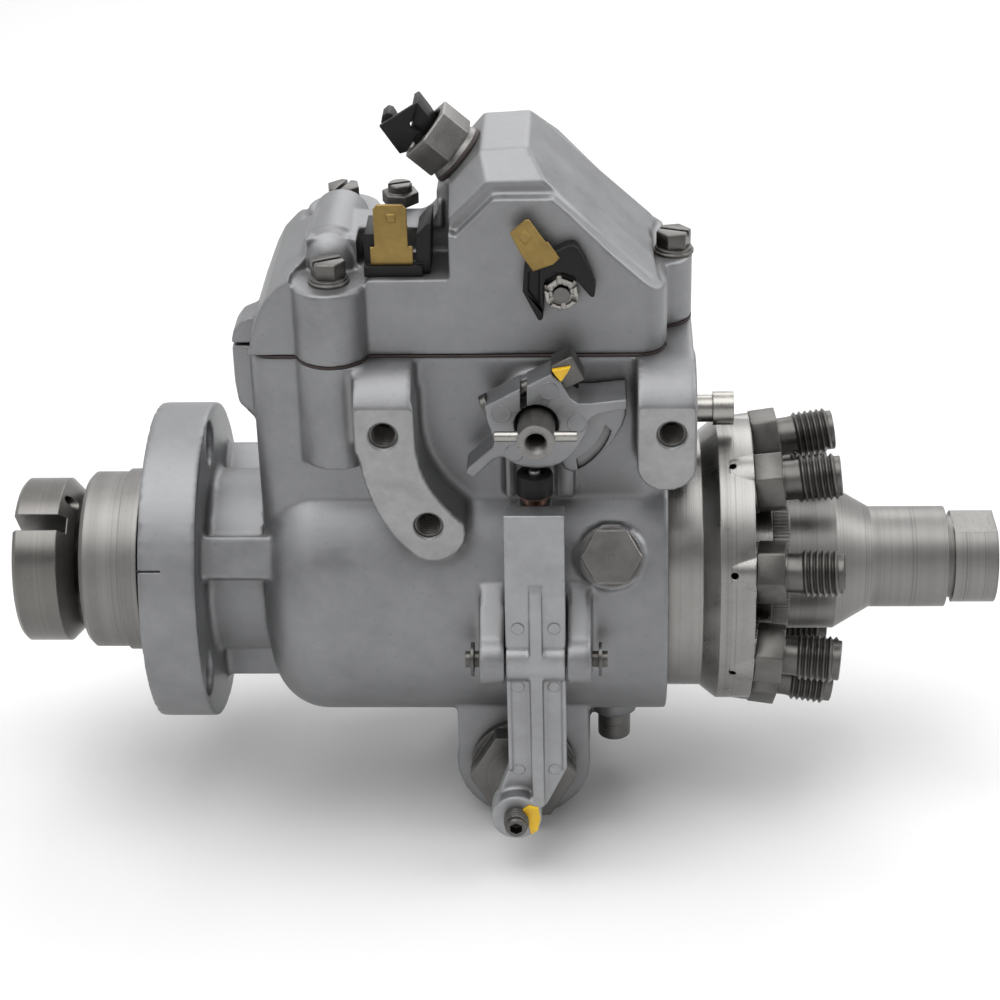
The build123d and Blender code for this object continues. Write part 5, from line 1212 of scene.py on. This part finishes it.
class PUMP_OT_terminals(bpy.types.Operator):
    """Models the terminals: their black shrouds, brass tabs and nuts, and the ground screw"""

    bl_idname = "pump.terminals"
    bl_label = "Terminals"

    def execute(self, context):
        dress(self.arch(), "Black plastic", stands_for="terminal_shrouds")
        tray = outline(
            "shutoff_shroud",
            [(-7.2, 0), (6.6, 0), (8.4, 0.7), (8.9, 13.2), (7.6, 12.6), (5.3, 9.8), (5.0, 3.2),
             (-4.4, 3.2), (-4.4, 10.4), (-7.0, 10.4), (-7.4, 8.8)],
            12,
        )
        seat(tray, (66.5, -8.5, 90.2), NEAR)
        subtract(tray, block((9.2, 14, 5), (66.7, -12.4, 93.3)))
        tray = join("shutoff_shroud", [tray, block((14.0, 2.4, 2.7), (66.1, -21.0, 91.56))])
        soften(tray, 0.35)
        dress(tray, "Black plastic", stands_for="terminal_shrouds")
        self.tabs()
        self.nuts()
        return {"FINISHED"}

    def tabs(self):
        """The upright brass tab of the shutoff stud, and the leaning one of the advance stud."""
        upright = outline(
            "shutoff_tab",
            [(-5.1, 0), (5.1, 0), (5.1, 4.7), (4.0, 4.7), (4.0, 14.2), (3.0, 15.4), (-3.0, 15.4),
             (-4.0, 14.2), (-4.0, 4.7), (-5.1, 4.7)],
            0.8,
        )
        seat(upright, (65.8, -20.6, 92.9), NEAR)
        foot = block((8.6, 7.6, 0.8), (65.8, -17.0, 93.8))
        stamp = block((2.1, 0.3, 2.0), (66.0, -21.5, 104.9), 0.1)
        upright = join("shutoff_tab", [upright, foot, stamp])
        leaning = outline(
            "advance_tab",
            [(94.4, 104.0), (98.1, 107.2), (99.0, 107.2), (102.7, 101.6), (103.3, 101.6),
             (106.0, 97.6), (104.5, 96.0), (99.7, 94.2), (96.9, 98.6)],
            0.8,
        )
        seat(leaning, (0, -28.1, 0), NEAR)
        dimple = [(97.9, 104.5), (96.3, 103.1), (98.0, 101.2), (99.6, 102.7)]
        dimple = outline("dimple", dimple, 0.5)
        seat(dimple, (0, -28.7, 0), NEAR)
        leaning = join("advance_tab", [leaning, dimple])
        for tab in (upright, leaning):
            soften(tab, 0.12)
            dress(tab, "Brass", stands_for="terminal_tabs")

    def nuts(self):
        """The hex nuts of the two studs, one of them castellated, and the slotted ground screw."""
        plain = turn("shutoff_nut", [(0, 3.46), (2.4, 3.46)], 6)
        seat(plain, (66.5, -14, 91.6), UP)
        castle = turn("advance_nut", [(0, 4.5), (3.2, 4.5)], 6)
        soften(castle, 0.25, 55)
        for third in range(3):
            slot = block((12, 1.3, 3), (0, 0, 3.2))
            seat(slot, (0, 0, 0), UP, spin=30 + 60 * third)
            subtract(castle, slot)
        hollow = turn("hollow", [(-1, 2.05), (2, 2.05), (2, 3.0), (4, 3.0)])
        subtract(castle, hollow)
        seat(castle, (106.3, -25.0, 87.9), NEAR, spin=8)
        stud = copy_of("advance_solenoid", "advance_stud")
        subtract(stud, block((8, 10, 8), (106.3, -32.6, 87.5)))
        dress(stud, "Plug steel", stands_for="advance_solenoid")
        ground = turn("ground_hex", [(0, 4.73), (3, 4.73)], 6)
        top = turn("ground_top", [(2.5, 3.0), (4.8, 3.0), (5.1, 2.7)], 40)
        subtract(top, block((12, 1.1, 2.6), (0, 0, 5.2)))
        for nut in (plain, ground):
            soften(nut, 0.25, 55)
        ground = join("ground_screw", [ground, top])
        seat(ground, (66, 9, 97), UP, spin=20)
        finishes = ((plain, "Dark steel"), (castle, "Bright steel"), (ground, "Dark steel"))
        for nut, finish in finishes:
            dress(nut, finish, stands_for="terminal_nuts")

    def arch(self):
        """The arched shroud of the advance terminal, open below, with legs that end in points."""
        piece = outline(
            "arch_shroud",
            [(97.6, 94.6), (98.2, 95.6), (102.9, 97.8), (107.6, 100.2), (109.2, 100.4),
             (110.4, 99.6), (112.2, 96.0), (113.6, 92.4), (114.4, 89.9), (114.2, 87.2),
             (113.3, 87.0), (110.8, 90.2), (109.4, 92.4), (108.0, 93.4), (104.8, 93.4),
             (103.0, 92.4), (102.2, 90.6), (102.1, 88.6), (102.2, 84.6), (101.8, 81.4),
             (100.8, 81.0), (98.8, 85.0), (97.1, 88.7)],
            3.9,
        )
        seat(piece, (0, -24.2, 0), NEAR)
        hollow = outline(
            "hollow",
            [(98.4, 88.8), (98.6, 93.6), (101.2, 94.8), (101.0, 88.6), (101.2, 84.6)],
            2,
        )
        seat(hollow, (0, -27.0, 0), NEAR)
        subtract(piece, hollow)
        soften(piece, 0.45, segments=3)
        return piece


class PUMP_OT_return_connector(bpy.types.Operator):
    """Models the hexagonal fuel return connector with its collar, bore and O-ring"""

    bl_idname = "pump.return_connector"
    bl_label = "Return connector"

    def execute(self, context):
        flats = turn("flats", [(2.6, 8.3), (10.9, 8.3)], 6)
        soften(flats, 0.5, 70, 3)
        hollow = turn("hollow", [(1, 5.2), (10.2, 5.2), (12, 7.2)])
        subtract(flats, hollow)
        collar = turn("collar", [(-1.5, 6.6), (1.0, 6.6), (1.2, 7.6), (2.8, 6.9)])
        connector = join("return_hexagon", [flats, collar])
        seat(connector, CONNECTOR_ORIGIN, CONNECTOR_AXIS, up=FAR)
        dress(connector, "Turned steel", stands_for="return_connector")
        ring = added(
            "return_ring",
            bpy.ops.mesh.primitive_torus_add,
            major_radius=6.9 * MM,
            minor_radius=0.9 * MM,
            major_segments=48,
            minor_segments=12,
            location=(0, 0, 0.5 * MM),
        )
        seat(ring, CONNECTOR_ORIGIN, CONNECTOR_AXIS, up=FAR)
        dress(ring, "Black rubber")
        self.clip()
        return {"FINISHED"}

    def clip(self):
        """The black clip in the connector's mouth: a web at the front, with a cheek at each end."""
        shapes = (
            ("web", -3.0, 1.4,
             [(62.7, 121.7), (72.0, 127.5), (71.6, 125.9), (70.7, 122.8), (70.0, 122.3),
              (70.4, 120.9), (72.7, 120.1), (71.7, 119.2), (69.1, 115.1), (67.4, 114.6)]),
            ("left_cheek", 5.0, 6.0,
             [(62.9, 121.4), (67.4, 114.8), (68.7, 115.6), (66.4, 122.2), (65.6, 123.5),
              (64.5, 123.9), (63.2, 122.8)]),
            ("right_cheek", 5.0, 8.2,
             [(72.0, 127.3), (70.8, 126.6), (70.4, 122.8), (73.0, 118.9), (76.0, 121.2),
              (74.6, 123.6)]),
            ("foot", 3.0, 6.0,
             [(70.2, 121.2), (72.9, 120.3), (77.0, 116.6), (74.4, 113.8), (70.6, 117.2)]),
        )
        pieces = []
        for name, back, depth, points in shapes:
            piece = outline(name, points, depth)
            pieces.append(seat(piece, (0, back, 0), NEAR))
        clip = join("clip", pieces)
        soften(clip, 0.25)
        dress(clip, "Black plastic", stands_for="return_clip")


class PUMP_OT_paint(bpy.types.Operator):
    """Puts the dabs of sealing paint on the clamp nut and the rocker's screw"""

    bl_idname = "pump.paint"
    bl_label = "Paint"

    def execute(self, context):
        dabs = (
            ("nut_paint", "throttle", -35.8, 1.6,
             [(103.9, 72.4), (108.4, 73.2), (107.6, 71.6), (106.1, 69.3), (104.8, 71.0)]),
            ("screw_paint", "rocker", -53.0, 1.0,
             [(95.3, -43.0), (97.0, -41.6), (99.4, -42.4), (99.9, -45.7), (99.2, -49.2),
              (97.4, -50.6), (96.8, -47.4), (96.4, -44.8)]),
        )
        for name, body, back, depth, points in dabs:
            dab = outline(name, points, depth)
            seat(dab, (0, back, 0), NEAR)
            remesh(dab, 0.2 * MM)
            smooth(dab, 6)
            dress(dab, "Yellow paint", body=body)
        return {"FINISHED"}


class PUMP_OT_stage(bpy.types.Operator):
    """Sets the floor, the pale surround, the lamps and the camera"""

    bl_idname = "pump.stage"
    bl_label = "Stage"

    def execute(self, context):
        studio = context.scene.pump_studio
        low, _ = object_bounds()
        bpy.ops.object.select_all(action="DESELECT")
        bpy.ops.mesh.primitive_plane_add(size=6, location=(0.1, 0, low.z - 0.0001))
        floor = bpy.context.object
        floor.name = "floor"
        material, tree, shader, place = new_material("Floor")
        speckle = put(tree, "ShaderNodeTexNoise", {"Vector": place, "Scale": 40.0}).outputs[0]
        tones = [shade(studio.floor_colour, share) for share in (0.985, 1.0)]
        near_white = blend(tree, speckle, *tones)
        tree.links.new(near_white, shader.inputs["Base Color"])
        shader.inputs["Roughness"].default_value = 0.85
        floor.data.materials.append(material)
        floor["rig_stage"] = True
        self.surround(context, studio)
        self.lamps(studio)
        self.camera(context, studio)
        return {"FINISHED"}

    def surround(self, context, studio):
        """White behind the pump, darker on the camera's side, and dimmer for the light it gives."""
        world = bpy.data.worlds.new("Surround")
        context.scene.world = world
        world.use_nodes = True
        tree = world.node_tree
        tree.nodes.clear()
        path = put(tree, "ShaderNodeLightPath").outputs
        direct = maths(tree, "MAXIMUM", path["Is Camera Ray"], path["Is Glossy Ray"])
        seen = maths(tree, "MAXIMUM", direct, path["Is Transmission Ray"])
        direction = put(tree, "ShaderNodeTexCoord").outputs["Generated"]
        across = put(tree, "ShaderNodeSeparateXYZ", {0: direction}).outputs[1]
        room = ramp(tree, maths(tree, "MULTIPLY", across, -1.0), 0.1, 0.85, 1.0, 0.3)
        light = maths(tree, "MULTIPLY", room, studio.surround)
        strength = blend(tree, seen, light, room, kind="FLOAT")
        inputs = {"Color": (1, 1, 1, 1), "Strength": strength}
        background = put(tree, "ShaderNodeBackground", inputs)
        output = put(tree, "ShaderNodeOutputWorld")
        tree.links.new(background.outputs[0], output.inputs[0])
        context.scene.view_settings.view_transform = "Standard"

    def lamps(self, studio):
        """Four large soft panels."""
        target = Vector(studio.target)
        panels = (
            ("key_lamp", (-0.2, -0.2, 1.1), 1.2, studio.key_power),
            ("fill_lamp", (0.9, 0.1, 0.75), 0.6, studio.fill_power),
            ("rim_lamp", (0.2, 0.9, 0.7), 0.7, studio.rim_power),
            ("low_lamp", (0.0, -1.1, 0.02), 0.9, studio.low_power),
        )
        for name, place, size, power in panels:
            bpy.ops.object.select_all(action="DESELECT")
            bpy.ops.object.light_add(type="AREA", location=place)
            lamp = bpy.context.object
            lamp.name = name
            lamp.data.size = size
            lamp.data.energy = power
            aim = target - Vector(place)
            lamp.rotation_euler = aim.to_track_quat("-Z", "Y").to_euler()

    def camera(self, context, studio):
        """The photograph's viewpoint."""
        turn_z, rise = studio.azimuth, studio.elevation
        level = Vector((math.cos(turn_z), math.sin(turn_z), 0))
        north = Vector((-math.sin(turn_z), math.cos(turn_z), 0))
        ahead = north * math.cos(rise) - Vector(UP) * math.sin(rise)
        upright = level.cross(ahead)
        right = level * math.cos(studio.roll) + upright * math.sin(studio.roll)
        up = upright * math.cos(studio.roll) - level * math.sin(studio.roll)
        data = bpy.data.cameras.new("camera")
        data.lens = studio.lens
        data.sensor_width = studio.sensor
        camera = bpy.data.objects.new("camera", data)
        context.scene.collection.objects.link(camera)
        place = Vector(studio.target) - ahead * studio.distance
        facing = Matrix((right, up, -ahead)).transposed().to_4x4()
        camera.matrix_world = Matrix.Translation(place) @ facing
        context.scene.camera = camera


class PUMP_PT_panel(bpy.types.Panel):
    """Lists the pump's steps and settings"""

    bl_idname = "PUMP_PT_panel"
    bl_label = "Injection Pump"
    bl_space_type = "VIEW_3D"
    bl_region_type = "UI"
    bl_category = "Pump"

    def draw(self, context):
        for step in STEPS:
            self.layout.operator(step.bl_idname)
        for name in SETTINGS:
            group = getattr(context.scene, name)
            box = self.layout.box()
            for key in group.__annotations__:
                box.prop(group, key)


SETTINGS = {"pump_studio": PumpStudio, "pump_finishes": PumpFinishes, "pump_details": PumpDetails}
STEPS = (
    PUMP_OT_materials,
    PUMP_OT_castings,
    PUMP_OT_outlets,
    PUMP_OT_levers,
    PUMP_OT_cover_screws,
    PUMP_OT_end_cap,
    PUMP_OT_roller,
    PUMP_OT_tapped_holes,
    PUMP_OT_terminals,
    PUMP_OT_return_connector,
    PUMP_OT_paint,
    PUMP_OT_stage,
)


def register():
    """Registers the settings, the steps and the panel."""
    for name, group in SETTINGS.items():
        bpy.utils.register_class(group)
        setattr(bpy.types.Scene, name, PointerProperty(type=group))
    for step in (*STEPS, PUMP_PT_panel):
        bpy.utils.register_class(step)


def unregister():
    """Takes them away again."""
    for step in reversed((*STEPS, PUMP_PT_panel)):
        bpy.utils.unregister_class(step)
    for name, group in SETTINGS.items():
        delattr(bpy.types.Scene, name)
        bpy.utils.unregister_class(group)


def main():
    """Builds the pump's looks in order."""
    register()
    for step in STEPS:
        area, _, action = step.bl_idname.partition(".")
        getattr(getattr(bpy.ops, area), action)()


if __name__ == "__main__":
    main()
